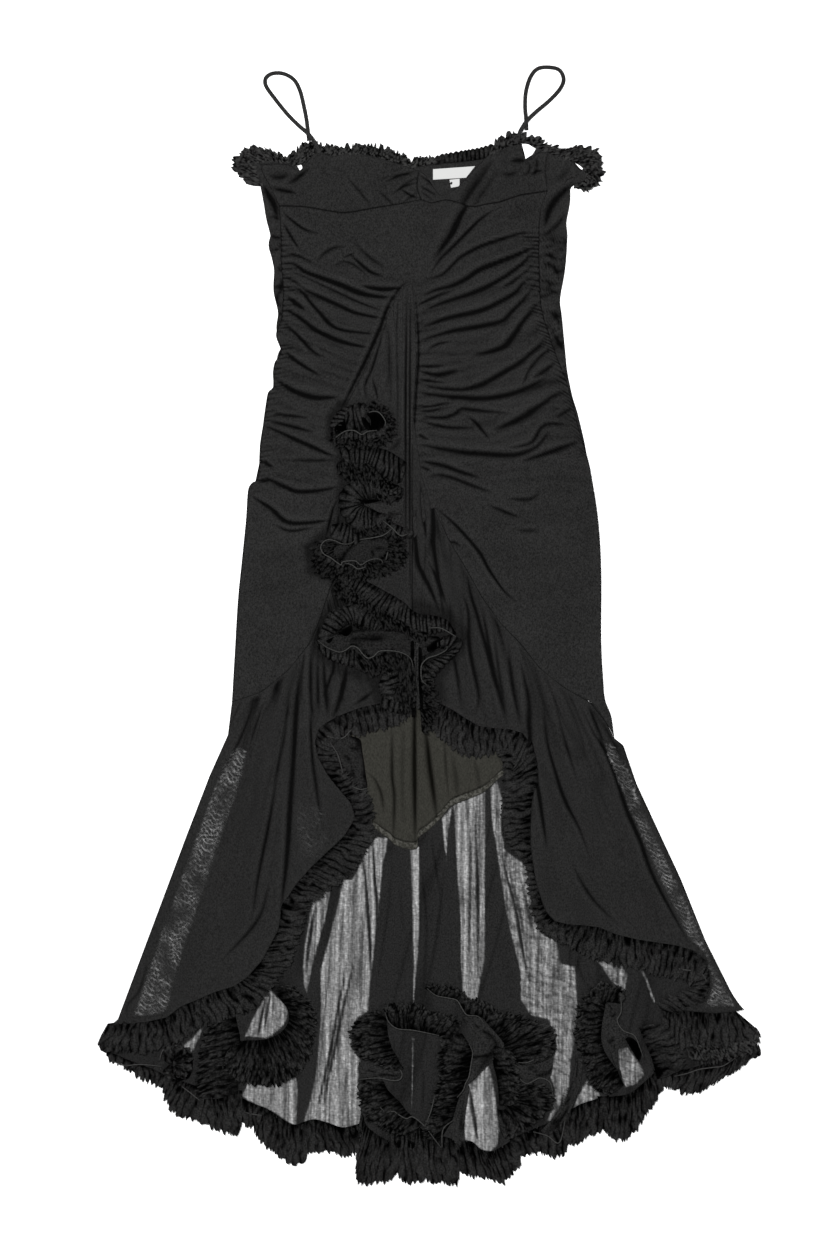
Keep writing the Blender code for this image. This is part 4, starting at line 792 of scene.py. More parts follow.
# Painted shade: the rolled edges at the side and bust seams, the hollows and the pleats' troughs darken the
# colour, and a painted shadow lies under and around the cascade.
rolled_edge_shade = np.maximum(0.9 * rolled(places, width=2.6, sides="lr"), 0.7 * rolled(places, width=2, sides="t"))
shade = shade + 0.75 * hollows(height) + 0.6 * np.clip(-pleats, 0, 1) + rolled_edge_shade
shade = np.clip(shade + 0.45 * inside(places, UNDER_CASCADE, soft=5), PALEST, DARKEST)
front_body = add_cloth("front_body_cloth", places, np.maximum(height, FRONT_LOWEST), jersey, crease=shade)
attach(front_body, "root")
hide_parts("front_body")


# The bust: two panels of black jersey, gathered to each other at the centre front. The left one has a
# smooth cup, and the right one is pulled into a long soft fold from its neckline down into the body.

BUST_LEVEL, BUST_LOWEST = 3.6, 2.0
BUST_MIDDLE = [(419, 171), (417, 186), (421, 200)]
BUST_WEST = [(261, 165), (262, 172), (271, 189), (279, 206)]
BUST_EAST = [(548, 152.5), (546, 165), (546, 178), (548, 191)]
CUP_LEFT = [
    (261, 165), (270, 164), (281, 164), (289, 165), (295, 169), (300, 170.5), (304, 166), (310, 158),
    (319, 150), (325, 154), (335, 155.5), (347, 153), (358, 152.5), (372, 156), (390, 161), (405, 166),
    (419, 171),
]
CUP_RIGHT = [
    (419, 171), (424, 174), (429, 180), (434, 188), (440, 195), (447.5, 194.5), (455.6, 189), (461, 184),
    (467, 178), (474, 170.5), (480, 164), (489, 155), (500, 146.5), (509, 141.5), (517, 139.5),
    (521.5, 144), (524.5, 158), (528, 160), (532, 159), (537, 153.5), (541, 152), (548, 152.5),
]
BUST_LEFT_FOLDS = [
    (1.6, 0.6, [(346, 176), (360, 192), (374, 210)]), (1.3, 0.6, [(378, 190), (387, 199), (396, 208)]),
    (1.2, 0.9, [(420, 170), (400, 176), (382, 184)]), (1.2, 1.0, [(400, 189), (411, 196), (421, 199)]),
    (1.0, 0.7, [(420, 182), (404, 187), (390, 196)]), (0.9, 0.6, [(419, 174), (396, 176), (374, 181)]),
    (0.9, 0.6, [(420, 190), (409, 199), (400, 204)]), (3.2, 0.9, [(268, 176), (280, 178), (293, 175)]),
    (2.6, 1.0, [(286, 185), (297, 179), (311, 167)]), (2.2, 1.1, [(269, 188), (283, 191), (298, 194)]),
    (1.1, 0.8, [(420, 177), (406, 184), (396, 192)]),
]
BUST_RIGHT_FOLDS = [
    (4.6, 1.2, [(494, 158), (480, 180), (466, 200), (456, 220)]),
    (3.0, 0.6, [(500, 168), (488, 186), (478, 200), (468, 216)]),
    (2.6, 1.0, [(510, 162), (518, 161), (527, 161)]),
    (1.6, 0.7, [(526, 160), (530, 166), (528, 173), (520, 177)]),
    (2.2, 0.6, [(500, 174), (510, 175), (520, 171)]), (1.3, 0.9, [(530, 177), (536, 172), (545, 171)]),
    (1.6, 1.0, [(425, 205), (431, 209), (437, 211)]), (1.1, 0.9, [(418, 175), (428, 181), (437, 190)]),
    (1.1, 0.8, [(418, 185), (428, 191), (438, 197)]), (0.9, 0.6, [(419, 191), (428, 197), (434, 202)]),
    (1.6, 0.8, [(536, 157), (537, 166), (534, 178)]),
]
for name, cup, seam, west, east, folds in (
    ("bust_left", CUP_LEFT, BUST_SEAM[:7], BUST_WEST, BUST_MIDDLE, BUST_LEFT_FOLDS),
    ("bust_right", CUP_RIGHT, BUST_SEAM[6:], BUST_MIDDLE, BUST_EAST, BUST_RIGHT_FOLDS),
):
    places = patch(cup, seam, west, east, across=130, down=44)
    lift, shade = folded(places, folds)
    height = BUST_LEVEL + 1.4 * lift + 0.5 * swell(places, size=45, seed=7)
    height = height - 1.6 * rolled(places, width=3, sides="lrt") - 0.5 * rolled(places, width=2, sides="b")
    # Painted shade in the hollows and along the rolled bust seam.
    shade = shade + 0.6 * hollows(height) + 0.6 * rolled(places, width=2, sides="b")
    shade = np.clip(shade, PALEST, DARKEST)
    bust = add_cloth(name + "_cloth", places, np.maximum(height, BUST_LOWEST), jersey, crease=shade)
    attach(bust, "root")
    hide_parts(name)


# The centre drape: a narrow panel of black jersey from a point under the bust, pleated lengthways, that
# widens down the front under the cascade.

DRAPE_LEVEL, DRAPE_LOWEST, DRAPE_HIGHEST = 6.0, 4.3, 9


def between(left, right, across, down):
    """A grid of places on straight rows from one line to another, both read at even steps."""
    share = np.linspace(0, 1, across)[None, :, None]
    return (1 - share) * spaced(left, down)[:, None] + share * spaced(right, down)[:, None]


DRAPE_FOLDS = [
    (1.2, 1.5, [(407, 290), (406.5, 330), (406, 400), (406, 500), (406, 560)]),
    (1.1, 1.5, [(410.8, 288), (410.5, 330), (410, 400), (410, 500), (410.5, 610)]),
    (3.0, 0.6, [(388, 323), (390, 360), (391, 410)]),
    (1.3, 1.1, [(387, 322), (384, 330), (373, 367), (366, 383), (365, 393), (369, 405)]),
    (1.2, 0.9, [(372, 377), (375, 387), (377.5, 397), (378, 403)]),
    (1.2, 0.6, [(398, 296), (397, 340), (398, 400), (397, 450)]),
    (1.4, 0.9, [(402, 438), (396, 446), (388, 452)]),
]
DRAPE_LEFT = [
    (412, 284), (405, 287), (396, 299), (389, 313), (383, 330), (371, 357), (357, 385), (344, 413),
    (346, 440), (352, 480), (356, 520), (352, 550), (352, 576),
]
DRAPE_RIGHT = [
    (412, 284), (414, 300), (416.5, 340), (416.5, 360), (414, 400), (413, 415), (412, 470), (412, 540),
    (412, 612),
]
places = between(DRAPE_LEFT, DRAPE_RIGHT, across=96, down=190)
lift, shade = folded(places, DRAPE_FOLDS)
along = lines(uneven(places[..., 0] / 4.5 + 5, places[..., 1] / 60, seed=34), width=0.2)
hidden = inside(places, UNDER_CASCADE, soft=4)
lift, along = lift * (1 - 0.7 * hidden), along * (1 - hidden)
height = DRAPE_LEVEL + 1.7 * lift - 0.5 * along + 0.3 * swell(places, size=30, seed=8, lean=(1.5, 0.3))
height = height - 1.4 * rolled(places, width=3, sides="lr")
# Painted shade in the hollows, folds and rolled edges, a painted shadow under the cascade, and 0.1 taken
# off as painted light over the whole raised drape.
shade = shade + 0.4 * hollows(height) + 0.15 * along + 0.25 * inside(places, UNDER_CASCADE, soft=6)
shade = np.clip(shade + 0.3 * rolled(places, width=1.5, sides="lr") - 0.1, PALEST, DARKEST)
height = np.clip(height, DRAPE_LOWEST, DRAPE_HIGHEST)
drape = add_cloth("centre_drape_cloth", places, height, jersey, crease=shade)
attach(drape, "root")
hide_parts("centre_drape")


# The two flounces: the lower front skirt, black mesh gathered into the curved yoke seam. The folds run from
# the seam to the hem and fade out. A strip of single mesh along each outer edge is sheer.

FLOUNCE_LEVEL, FLOUNCE_LOWEST, FLOUNCE_HIGHEST = 4.9, 2.8, 9
# The sheer strip's curved rungs: how far apart they are, and how wide each of their arches is, in pixels.
RUNG_PITCH, RUNG_ARCH = 5.2, 17


def half_sheer(name):
    """The flounces' mesh: opaque but for its sheer strip. There the alpha falls along curved rungs and in
    specks, the moire of two nets. A triangle wave of the rung's number makes them, a noise thins them."""
    mesh = Finish(name, **MATT)
    fine = mesh.grain(700, 1, (1, 0.7, 1))
    # Painted shade: the colour turns dark in the creases.
    share = (1 - mesh.mask("crease")) * (0.54 + 0.16 * mesh.grain(14, 3) + 1.1 * (fine - 0.5))
    number = mesh.mask("rung") + 2.2 * mesh.grain(45, 2)
    rungs = mesh.ramp(mesh.node("Math", {"operation": "PINGPONG"}, [number, 0.5]), 0.3, 0.46)
    patches = mesh.ramp(mesh.grain(60, 2, (1, 0.7, 1)), 0.3, 0.62)
    specks = mesh.ramp(mesh.grain(420, 2), 0.45, 0.62)
    open_share = 0.04 + 0.1 * specks + patches * (0.32 * rungs + 0.25 * specks)
    mesh.show(
        Base_Color=mesh.blend(BLACK, (0.0166, 0.0165, 0.0163), share),
        Alpha=1 - mesh.mask("sheer") * open_share,
        Normal=mesh.raised(fine, 0.0001),
    )
    return mesh


def level_rows(left, right, across, down):
    """A grid of level rows between two sides, given as places from top to bottom. Rows are closer together
    where a side runs nearly level, so that no row's end moves far from the last one's."""
    left, right = np.asarray(left, float), np.asarray(right, float)
    fine = np.linspace(left[0, 1], left[-1, 1], 4000)
    ends = [np.interp(fine, side[:, 1], side[:, 0]) for side in (left, right)]
    gone = np.cumsum(np.append(0, np.diff(fine) + sum(np.abs(np.diff(end)) for end in ends)))
    y = np.interp(np.linspace(0, gone[-1], down), gone, fine)[:, None]
    west, east = (np.interp(y, fine, end) for end in ends)
    share = np.linspace(0, 1, across)[None]
    return np.dstack([(1 - share) * west + share * east, np.repeat(y, across, axis=1)])


def gathers(places, seam, pole):
    """Gathers below a seam, where a noise drawn out along rays from a pole is a half. The ray's angle
    counts them, and they fade over 90 pixels below the seam, whose y is read at each place's own x."""
    x, y = places[..., 0] - pole[0], places[..., 1] - pole[1]
    rays, far = np.arctan2(x, y) * 42, np.hypot(x, y)
    line = np.array(sorted(seam))
    below = places[..., 1] - np.interp(places[..., 0], line[:, 0], line[:, 1])
    fade = np.clip(below / 6, 0, 1) * np.exp(-np.maximum(below, 0) / 90)
    pulls = lines(uneven(rays, far / 70, seed=9), width=0.2)
    return fade * (pulls + lines(uneven(rays / 2, far / 120, seed=10), width=0.16))


flounce_mesh = half_sheer("flounce_mesh")
# Each flounce's lower edge, where its hem ruffle is sewn on, from the centre front outwards.
HEM_SEAM_LEFT = [
    (411, 696), (395, 701), (378, 704), (360, 708), (345, 714), (330, 721), (319, 729), (316, 742),
    (319, 758), (328, 774), (341, 790), (352, 803), (356, 818), (345, 836), (330, 850), (312, 867),
    (297, 884), (284, 905), (279, 930), (263, 960), (248, 977), (235, 986), (215, 992), (197, 1000),
    (182, 1006), (168, 1017), (150, 1021), (112, 1025),
]
SIDE_LEFT = [(232, 702), (228, 735), (210, 775), (185, 840), (155, 920), (118, 1019), (111, 1025)]
FLOUNCE_LEFT_FOLDS = [
    (2.4, 1.7, [(304, 652), (298, 695), (295, 745), (291, 800), (287, 860), (280, 920)]),
    (2.2, 1.6, [(348, 663), (345, 680), (340, 700), (333, 718)]),
    (1.6, 1.1, [(311, 645), (311, 700), (315, 720)]),
    (1.6, 1.1, [(324, 660), (325, 680), (328, 718)]),
    (1.6, 1.0, [(310, 700), (313, 760), (323, 830)]),
    (1.8, 0.9, [(280, 760), (270, 820), (258, 880), (252, 925)]),
    (1.5, 0.7, [(253, 706), (240, 740), (215, 785)]),
    (1.5, 0.7, [(265, 700), (258, 720), (250, 745)]),
    (1.8, 0.8, [(270, 880), (258, 920), (222, 960)]),
    (1.6, 0.9, [(336, 640), (334, 668), (322, 700)]),
    (1.4, 0.8, [(317, 650), (318, 690), (320, 720)]),
    (1.8, 0.7, [(290, 690), (284, 740), (272, 790)]),
    (1.8, 0.8, [(375, 690), (365, 698), (352, 706)]),
    (1.4, 1.0, [(412, 640), (412.5, 670), (411, 694)]),
    (1.4, 0.6, [(148, 960), (140, 990), (128, 1005), (128, 1020)]),
]
HEM_SEAM_RIGHT = [
    (438, 703), (452, 710), (464, 718), (478, 726), (492, 728), (508, 729), (522, 733), (531, 745),
    (536, 762), (536, 782), (531, 803), (530, 825), (530, 845), (532, 862), (534, 880), (540, 898),
    (545, 911), (554, 921), (567, 924), (582, 925), (598, 927), (615, 934), (635, 939), (655, 942),
    (675, 945), (692, 950), (705, 960), (709, 975), (709, 988), (702, 1003), (688, 1009), (672, 1012),
    (668, 1015),
]
SIDE_RIGHT = [
    (614, 738), (623, 745), (636, 783), (655, 824), (681, 880), (705, 940), (730, 990), (744, 1015),
]
FLOUNCE_RIGHT_FOLDS = [
    (2.2, 1.8, [(411, 500), (415, 530), (418, 560), (421, 570), (430, 588), (437, 605), (440, 615)]),
    (1.6, 1.3, [(420, 480), (422, 500), (424, 520), (428, 545)]),
    (2.4, 1.8, [(421, 470), (427, 485), (432, 500), (434, 530), (434, 545), (438, 575), (442, 600),
        (445, 618)]),
    (1.8, 1.3, [(467, 572), (471, 595), (479, 620), (495, 680), (508, 728)]),
    (1.6, 1.2, [(460, 590), (468, 610), (470, 650), (478, 690), (478, 705), (472, 720)]),
    (1.6, 1.0, [(482, 600), (490, 650), (505, 715)]),
    (1.5, 0.9, [(493, 622), (498, 665), (507, 720)]),
    (1.8, 1.3, [(520, 660), (528, 695), (530, 720), (531, 750)]),
    (2.0, 1.6, [(525, 700), (530, 740), (540, 800), (547, 850)]),
    (1.8, 1.0, [(543, 700), (547, 740), (555, 770), (565, 800), (580, 830), (590, 860)]),
    (1.8, 1.6, [(580, 705), (595, 735), (605, 750), (617, 780), (627, 810), (640, 840), (655, 880),
        (690, 945)]),
    (1.5, 0.9, [(588, 705), (598, 728), (606, 750)]),
    (1.8, 1.0, [(450, 600), (452, 640), (458, 680), (462, 712)]),
    (1.6, 0.9, [(508, 640), (512, 680), (520, 725)]),
    (1.4, 0.6, [(553, 690), (562, 730), (580, 790)]),
    (1.8, 0.7, [(570, 860), (590, 895), (618, 925)]),
    (1.6, 1.1, [(428, 560), (440, 585), (448, 610)]),
    (1.4, 1.0, [(424, 640), (426, 670), (430, 690)]),
    (1.6, 0.8, [(668, 960), (660, 980), (668, 1000)]),
]
YOKE_LEFT = YOKE[7::-1]
YOKE_RIGHT = [(413, 415), (417, 440), (421, 468), (427, 488), *YOKE[10:]]
# A flounce's inner side runs down the centre front and on along its lower edge.
FRONT_EDGE_LEFT = [(346, 572), (352, 576), (368, 590), (390, 602), (412, 612), (413, 670), *HEM_SEAM_LEFT]
FRONT_EDGE_RIGHT = [
    (412.5, 415), (412, 470), (412, 612), (416, 640), (420, 668), (423, 690), *HEM_SEAM_RIGHT,
]
left_grid = level_rows(YOKE_LEFT + SIDE_LEFT[1:], FRONT_EDGE_LEFT, across=120, down=240)
right_grid = level_rows(FRONT_EDGE_RIGHT, YOKE_RIGHT + SIDE_RIGHT, across=120, down=320)
# The right flounce's lower end isn't level: its last 30 pixels bend to this line over the corner ruffle.
RIGHT_END = [(668, 1007), (690, 1011), (715, 1013), (733, 1011.5), (744, 1009)]
end = np.interp(right_grid[..., 0], *np.transpose(RIGHT_END))
right_grid[..., 1] += (end - 1015) * np.clip((right_grid[..., 1] - 985) / 30, 0, 1) ** 2
# A sheer outline, its share of the full sheerness, and how soft its border is in pixels.
SHEER = {"flounce_left": [(SHEER_LEFT, 1, 2), (SPECKLED, 0.4, 9)], "flounce_right": [(SHEER_RIGHT, 1, 2)]}
for name, folds, grid, yoke, pole, outer in (
    ("flounce_left", FLOUNCE_LEFT_FOLDS, left_grid, YOKE_LEFT, (314, 530), 0),
    ("flounce_right", FLOUNCE_RIGHT_FOLDS, right_grid, YOKE_RIGHT[4:], (427, 373), -1),
):
    lift, shade = folded(grid, folds)
    pulls = gathers(grid, yoke, pole)
    lift = lift * (1 - 0.8 * inside(grid, UNDER_CASCADE, soft=4))
    height = FLOUNCE_LEVEL + 1.5 * lift - 0.9 * pulls + 0.5 * swell(grid, size=50, seed=11, lean=(1, 0.4))
    height = height - 1.8 * rolled(grid, width=3, sides="lr")
    # Painted shade from the gathers, hollows and rolled edges, and a painted shadow under the cascade.
    shade = shade + 0.3 * pulls + 0.5 * hollows(height) + 0.5 * rolled(grid, width=2, sides="lr")
    shade = shade + 0.45 * inside(grid, UNDER_CASCADE, soft=5) + 0.6 * rolled(grid, width=2, sides="b")
    shade = np.clip(shade, PALEST, 0.85)
    thin = np.clip(sum(share * inside(grid, outline, soft) for outline, share, soft in SHEER[name]), 0, 1)
    across = np.abs(grid - grid[:, [outer]])[..., 0] / RUNG_ARCH
    rung = grid[..., 1] / RUNG_PITCH + 1.1 * (2 * (across % 1) - 1) ** 2
    height = np.clip(height, FLOUNCE_LOWEST, FLOUNCE_HIGHEST)
    flounce = add_cloth(name + "_cloth", grid, height, flounce_mesh, crease=shade, sheer=thin, rung=rung)
    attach(flounce, "root")
    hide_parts(name)


# The ruffles: strips of black jersey, cut about twice as long as their seams, gathered along one edge and
# fringed along the other. Overlock thread shows as a pale cord along many of the gathered edges, and where
# a strip turns over, its plain back shows too, and the dark hollow under it, which is a strip of painted
# shade.

# Along a strip, pixels from one column of its grid to the next, and across it, rows of a gathered and of a
# plain one. A strip runs on past both its ends, and they round off over a few pixels.
COLUMN_STEP = 0.7
GATHERED_ROWS, PLAIN_ROWS = 15, 9
PAST_END, ROUND_END = 3, 5
# In mm, how much higher each strip of a ruffle lies than the last, and the least height of its cloth.
STRIP_STEP, STRIP_LOWEST = 0.35, 0.3
# The share of its length times width that a ruffle's uneven strip fills.
CUT_FILLED = 0.7


def spread(rows, table):
    """The grid of one strip, and how far along and across it each column and row lies, in pixels and as a
    share. A table row is a place on the stitched edge and one on the free edge."""
    table = np.asarray(table, float)
    fine = np.linspace(0, len(table) - 1, 30 * len(table))
    both = smooth_rows(table, fine)
    middle = (both[:, :2] + both[:, 2:]) / 2
    along = np.append(0, np.cumsum(np.linalg.norm(np.diff(middle, axis=0), axis=1)))
    s = np.linspace(0, along[-1], max(int(along[-1] / COLUMN_STEP), 8))
    both = smooth_rows(table, np.interp(s, along, fine))
    way = np.gradient(middle[[0, 1, -2, -1]], axis=0)[[0, -1]]
    way = way / np.linalg.norm(way, axis=1)[:, None]
    near_start, near_end = (np.clip(1 - gap / 6, 0, 1)[:, None] for gap in (s, s[-1] - s))
    both = both + PAST_END * np.tile(near_start * -way[0] + near_end * way[1], 2)
    ends = np.clip(np.minimum(s, s[-1] - s) / ROUND_END, 0, 1)
    full = 0.45 + 0.55 * np.sqrt(1 - (1 - ends) ** 2)
    v = np.linspace(0, 1, rows)[:, None, None]
    return both[:, :2] + (both[:, 2:] - both[:, :2]) * full[:, None] * v, s[None], v[..., 0]


def outward(places):
    """A strip's width at each column, and its direction there from the stitched to the free edge."""
    step = places[-1] - places[0]
    wide = np.linalg.norm(step, axis=-1)
    return wide, step / np.maximum(wide, 1e-6)[:, None]


def gathered_strip(table, level, tall, seed):
    """(places, height, shade, edge) of a gathered strip. Ribs run from edge to edge: the lines of a noise
    that is short along the strip and long across it, over rounder ones twice as wide. A raised cosine along
    the strip lifts the free edge, a half sine puffs the middle, and a noise frays the free edge. The shade
    is painted shade: dark between the ribs, in random clumps, towards the stitched edge and in the dips of
    the free edge's waves."""
    places, s, v = spread(GATHERED_ROWS, table)
    wide, out = outward(places)
    a, b = np.random.default_rng(seed).uniform(0, 6.3, 2)
    beat = s / 1.8 + 0.6 * np.sin(s / 9 + a) + 1.2 * uneven(s / 4 + 9, v * wide / 5, seed + 4)
    ribs = 1 - np.abs(2 * uneven(beat + 0.5 * v, v * wide / 8 + a, seed) - 1) ** 0.8
    folds = np.abs(np.sin(np.pi * (beat / 3.9 + 1.2 * uneven(s / 10, v * wide / 11, seed + 1)))) ** 0.6
    clump_shade = np.clip(3 * uneven(s / 8, v * wide / 8 + 3, seed + 3) - 1.7, 0, 1)
    wave = 0.5 - 0.5 * np.cos(2 * np.pi * s / 25 + 1.3 * np.sin(s / 21 + b))
    puff = 0.4 * np.sin(np.pi * v) + 0.6 * wave * v**1.3
    ridges = 0.75 * ribs + (0.55 + 0.6 * v) * folds
    frayed = v**5 * (6.0 * (uneven(s / 1.2, s * 0, seed + 2) - 0.55) + 1.8 * (folds - 0.5))
    height = level + tall * puff + 1.25 * ridges
    shade = np.clip(1.45 - 1.15 * ridges, 0, 1) + 0.4 * (1 - v) ** 3
    shade = shade + 0.25 * (1 - wave) * v + 0.35 * clump_shade
    return places + out * frayed[..., None], height, np.clip(shade, 0, 1), 0 * shade


def curled_strip(table, level, tall, seed, inner=1.0):
    """The same where the fringe curls up in pale and dark dots, a noise 2 pixels across: painted light and
    shade on the curls, the pale dots in the edge attribute. They cover the strip, or with less than 1 for
    the stitched edge they grow with the square of the way out from it, and then the painted shade also
    deepens towards the free edge."""
    places, height, shade, edge = gathered_strip(table, level, tall, seed)
    wide, out = outward(places)
    v = np.linspace(0, 1, GATHERED_ROWS)[:, None]
    curl = inner + (1 - inner) * v**2
    dots = uneven(np.arange(len(wide)) / 1.9, v * wide / 1.4, seed + 7)
    places = places + out * (2.4 * v**4 * (dots - 0.6))[..., None]
    # Painted shade and painted highlights: dark dots deepen the shade, pale ones lighten it and the edge
    # colour.
    shade = (1 - 0.65 * curl) * shade + curl * 2.2 * (0.55 - dots) + (1 - inner) * 0.35 * v**2
    edge = np.clip(2.6 * (dots - 0.6), 0, 0.55) * curl * inner**0.5
    return places, height + 0.6 * curl * dots, np.clip(shade, 0, 1), edge


def fringed_strip(table, level, tall, seed):
    """A gathered strip whose fringe alone curls."""
    return curled_strip(table, level, tall, seed, 0.08)


def dotted_strip(table, level, tall, seed):
    """A strip that curls all over and lies in the shade of others: its painted shade is deepened and its
    painted highlights dimmed.
    """
    places, height, shade, edge = curled_strip(table, level, tall, seed)
    return places, height, np.clip(0.42 + 0.8 * shade, 0, 0.98), 0.2 * edge


def ribbed_strip(table, level, tall, seed):
    """The same where it lies flat: smooth round ribs from edge to edge, |sin| of a number that counts about
    one per 5 pixels, with thin dark lines between them that fade in and out, and finer wrinkles on them.
    The dark lines, the wrinkles and the darkening at both edges are painted shade."""
    places, s, v = spread(GATHERED_ROWS, table)
    wide, out = outward(places)
    rib = np.abs(np.sin(np.pi * (s / 4.8 + 1.6 * uneven(s / 12, v * wide / 20, seed))))
    drawn = np.clip(2.6 * uneven(s / 5, v * wide / 9 + 5, seed + 1) - 0.3, 0.15, 1.1)
    fine = lines(uneven(s / 2.1 + 0.4 * v * wide / 5, v * wide / 7 + 2, seed + 2), width=0.18)
    shade = drawn * np.exp(-((rib / 0.5) ** 2)) + 0.55 * fine + 0.55 * (1 - v) ** 4
    places = places + out * (v**6 * 1.6 * (rib - 0.5))[..., None]
    height = level + 0.45 * tall * np.sin(np.pi * v) + 1.1 * rib**0.6 - 0.3 * fine
    return places, height, np.clip(shade + 0.45 * v**8, 0, 0.95), 0 * shade


def plain_strip(table, level, tall, seed, dark=0.12):
    """The same for cloth that isn't gathered there, with a few soft creases along it, painted dark over a
    base of painted shade as dark as given. It lies flat, so it needs no height of its own."""
    places, s, v = spread(PLAIN_ROWS, table)
    crease = lines(uneven(s / 26, v * 3 + 7, seed), width=0.12)
    height = level + 0.8 * np.sin(np.pi * v) - 0.4 * crease
    return places, height, np.clip(dark + 0.6 * crease, 0, 1) + 0 * height, 0 * height


def inside_strip(table, level, tall, seed):
    """A plain strip with deeper painted shade, as it lies in the shade of another, and a painted shadow
    line along its second edge.
    """
    places, height, shade, edge = plain_strip(table, level, tall, seed, 0.3)
    far = (1 - np.linspace(0, 1, PLAIN_ROWS))[:, None] * outward(places)[0]
    return places, height, np.clip(shade + 0.6 * np.exp(-((far / 1.6) ** 2)), 0, 0.95), edge


def painted_shade_strip(table, level, tall, seed):
    """A place that little light reaches, painted as a strip of shade: nearly black, less so towards its
    rim, with faint ribs.
    """
    places, height, shade, edge = plain_strip(table, level, tall, seed)
    rows, columns = shade.shape
    up, along = np.linspace(0.08, 0.92, rows)[:, None], np.linspace(0.1, 0.9, columns)
    rim = np.sin(np.pi * up) * np.sin(np.pi * along)
    ribs = uneven(np.linspace(0, columns / 3, columns), np.linspace(0, 1.5, rows)[:, None], seed)
    return places, height + 1.5 - 1.2 * rim, np.clip(0.86 + 0.3 * rim - 0.2 * ribs, 0, 0.98), edge


def overlock_cord(line, level, tall, seed):
    """A cord of stitches on a line: a tube 1.1 pixels thick, thicker at each stitch, darker at its ends."""
    line = spaced(np.asarray(line, float), max(6 * len(line), 12))
    run = np.gradient(line, axis=0)
    side = np.stack([-run[:, 1], run[:, 0]], axis=1) / np.linalg.norm(run, axis=1)[:, None]
    turn = np.linspace(0, 2 * np.pi, 8)[:, None]
    thick = 0.56 + 0.16 * np.sin(2.4 * np.arange(len(line)))
    places = line + (np.cos(turn) * thick)[..., None] * side
    height = level + 2.0 + 1.1 * np.sin(turn) * thick
    pale = np.sin(np.pi * np.linspace(0.06, 0.94, len(line))) ** 0.6
    return places, height, 0.35 * (1 - pale) + 0 * height, 0.85 * pale + 0 * height


def ruffle_knit(name):
    """Jersey with painted shade that turns it black between its ribs, pale where it is overlocked, and pale
    too at the painted highlights of its curls.
    """
    knit = Finish(name, **MATT)
    fine = knit.grain(520, 2)
    share = (1 - knit.mask("crease")) * (0.78 + 2.4 * (fine - 0.5))
    cloth = knit.blend((0.0002, 0.0002, 0.0002), (0.0165, 0.0164, 0.0162), share)
    cloth = knit.blend(cloth, (0.031, 0.031, 0.03), knit.mask("edge"))
    knit.show(Base_Color=cloth, Normal=knit.raised(fine, 0.0002))
    return knit


ruffle_jersey = ruffle_knit("ruffle_jersey")
KINDS = {
    "gathered": gathered_strip,
    "curled": curled_strip,
    "fringed": fringed_strip,
    "dotted": dotted_strip,
    "ribbed": ribbed_strip,
    "inside": inside_strip,
    "plain": plain_strip,
    "painted_shade": painted_shade_strip,
    "overlock": overlock_cord,
}


def sew_on(ruffles, level, tall, seed, deepen_painted_shade=0):
    """Makes one object of each ruffle's strips. Their painted shade is deepened: the light it leaves is
    raised to the power of one more than the given deepening. It also works out a flat size for the ruffle's
    cut, as wide as its widest strip, its area that of the rippled cloth itself, but nothing uses it."""
    for node, strips in ruffles.items():
        parts, start, skin, widest = [], 0, 0, 0.01
        for number, (kind, table) in enumerate(strips):
            seed += 1
            places, height, shade, edge = KINDS[kind](table, level + STRIP_STEP * number, tall, seed)
            points = np.dstack([on_table(places), np.maximum(height, STRIP_LOWEST) * MM])
            faces = grid_faces(*points.shape[:2])
            points = points.reshape(-1, 3)
            if kind != "overlock":
                a, b, c, d = points[faces].swapaxes(0, 1)
                skin += np.linalg.norm(np.cross(c - a, d - b), axis=1).sum() / 2
                widest = max(widest, outward(places)[0].max() * PIXEL)
            # Painted shade, deepened for ruffles that lie in the shade of others.
            shade = 1 - (1 - shade) ** (1 + deepen_painted_shade)
            parts.append((points, faces + start, shade.ravel(), edge.ravel()))
            start += len(points)
        points, faces, shade, edge = (np.concatenate(part) for part in zip(*parts))
        piece = add_piece(node + "_cloth", points, faces, ruffle_jersey, crease=shade, edge=edge)
        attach(piece, "root")
        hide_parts(node)
        flat = (widest, skin / widest / CUT_FILLED)


# The tables below hold each ruffle's strips, from the lowest up: a strip's kind, and the rows along it, the
# x and y of a place on the stitched edge and then of one on the free edge. An overlock cord's rows are
# places on its line.

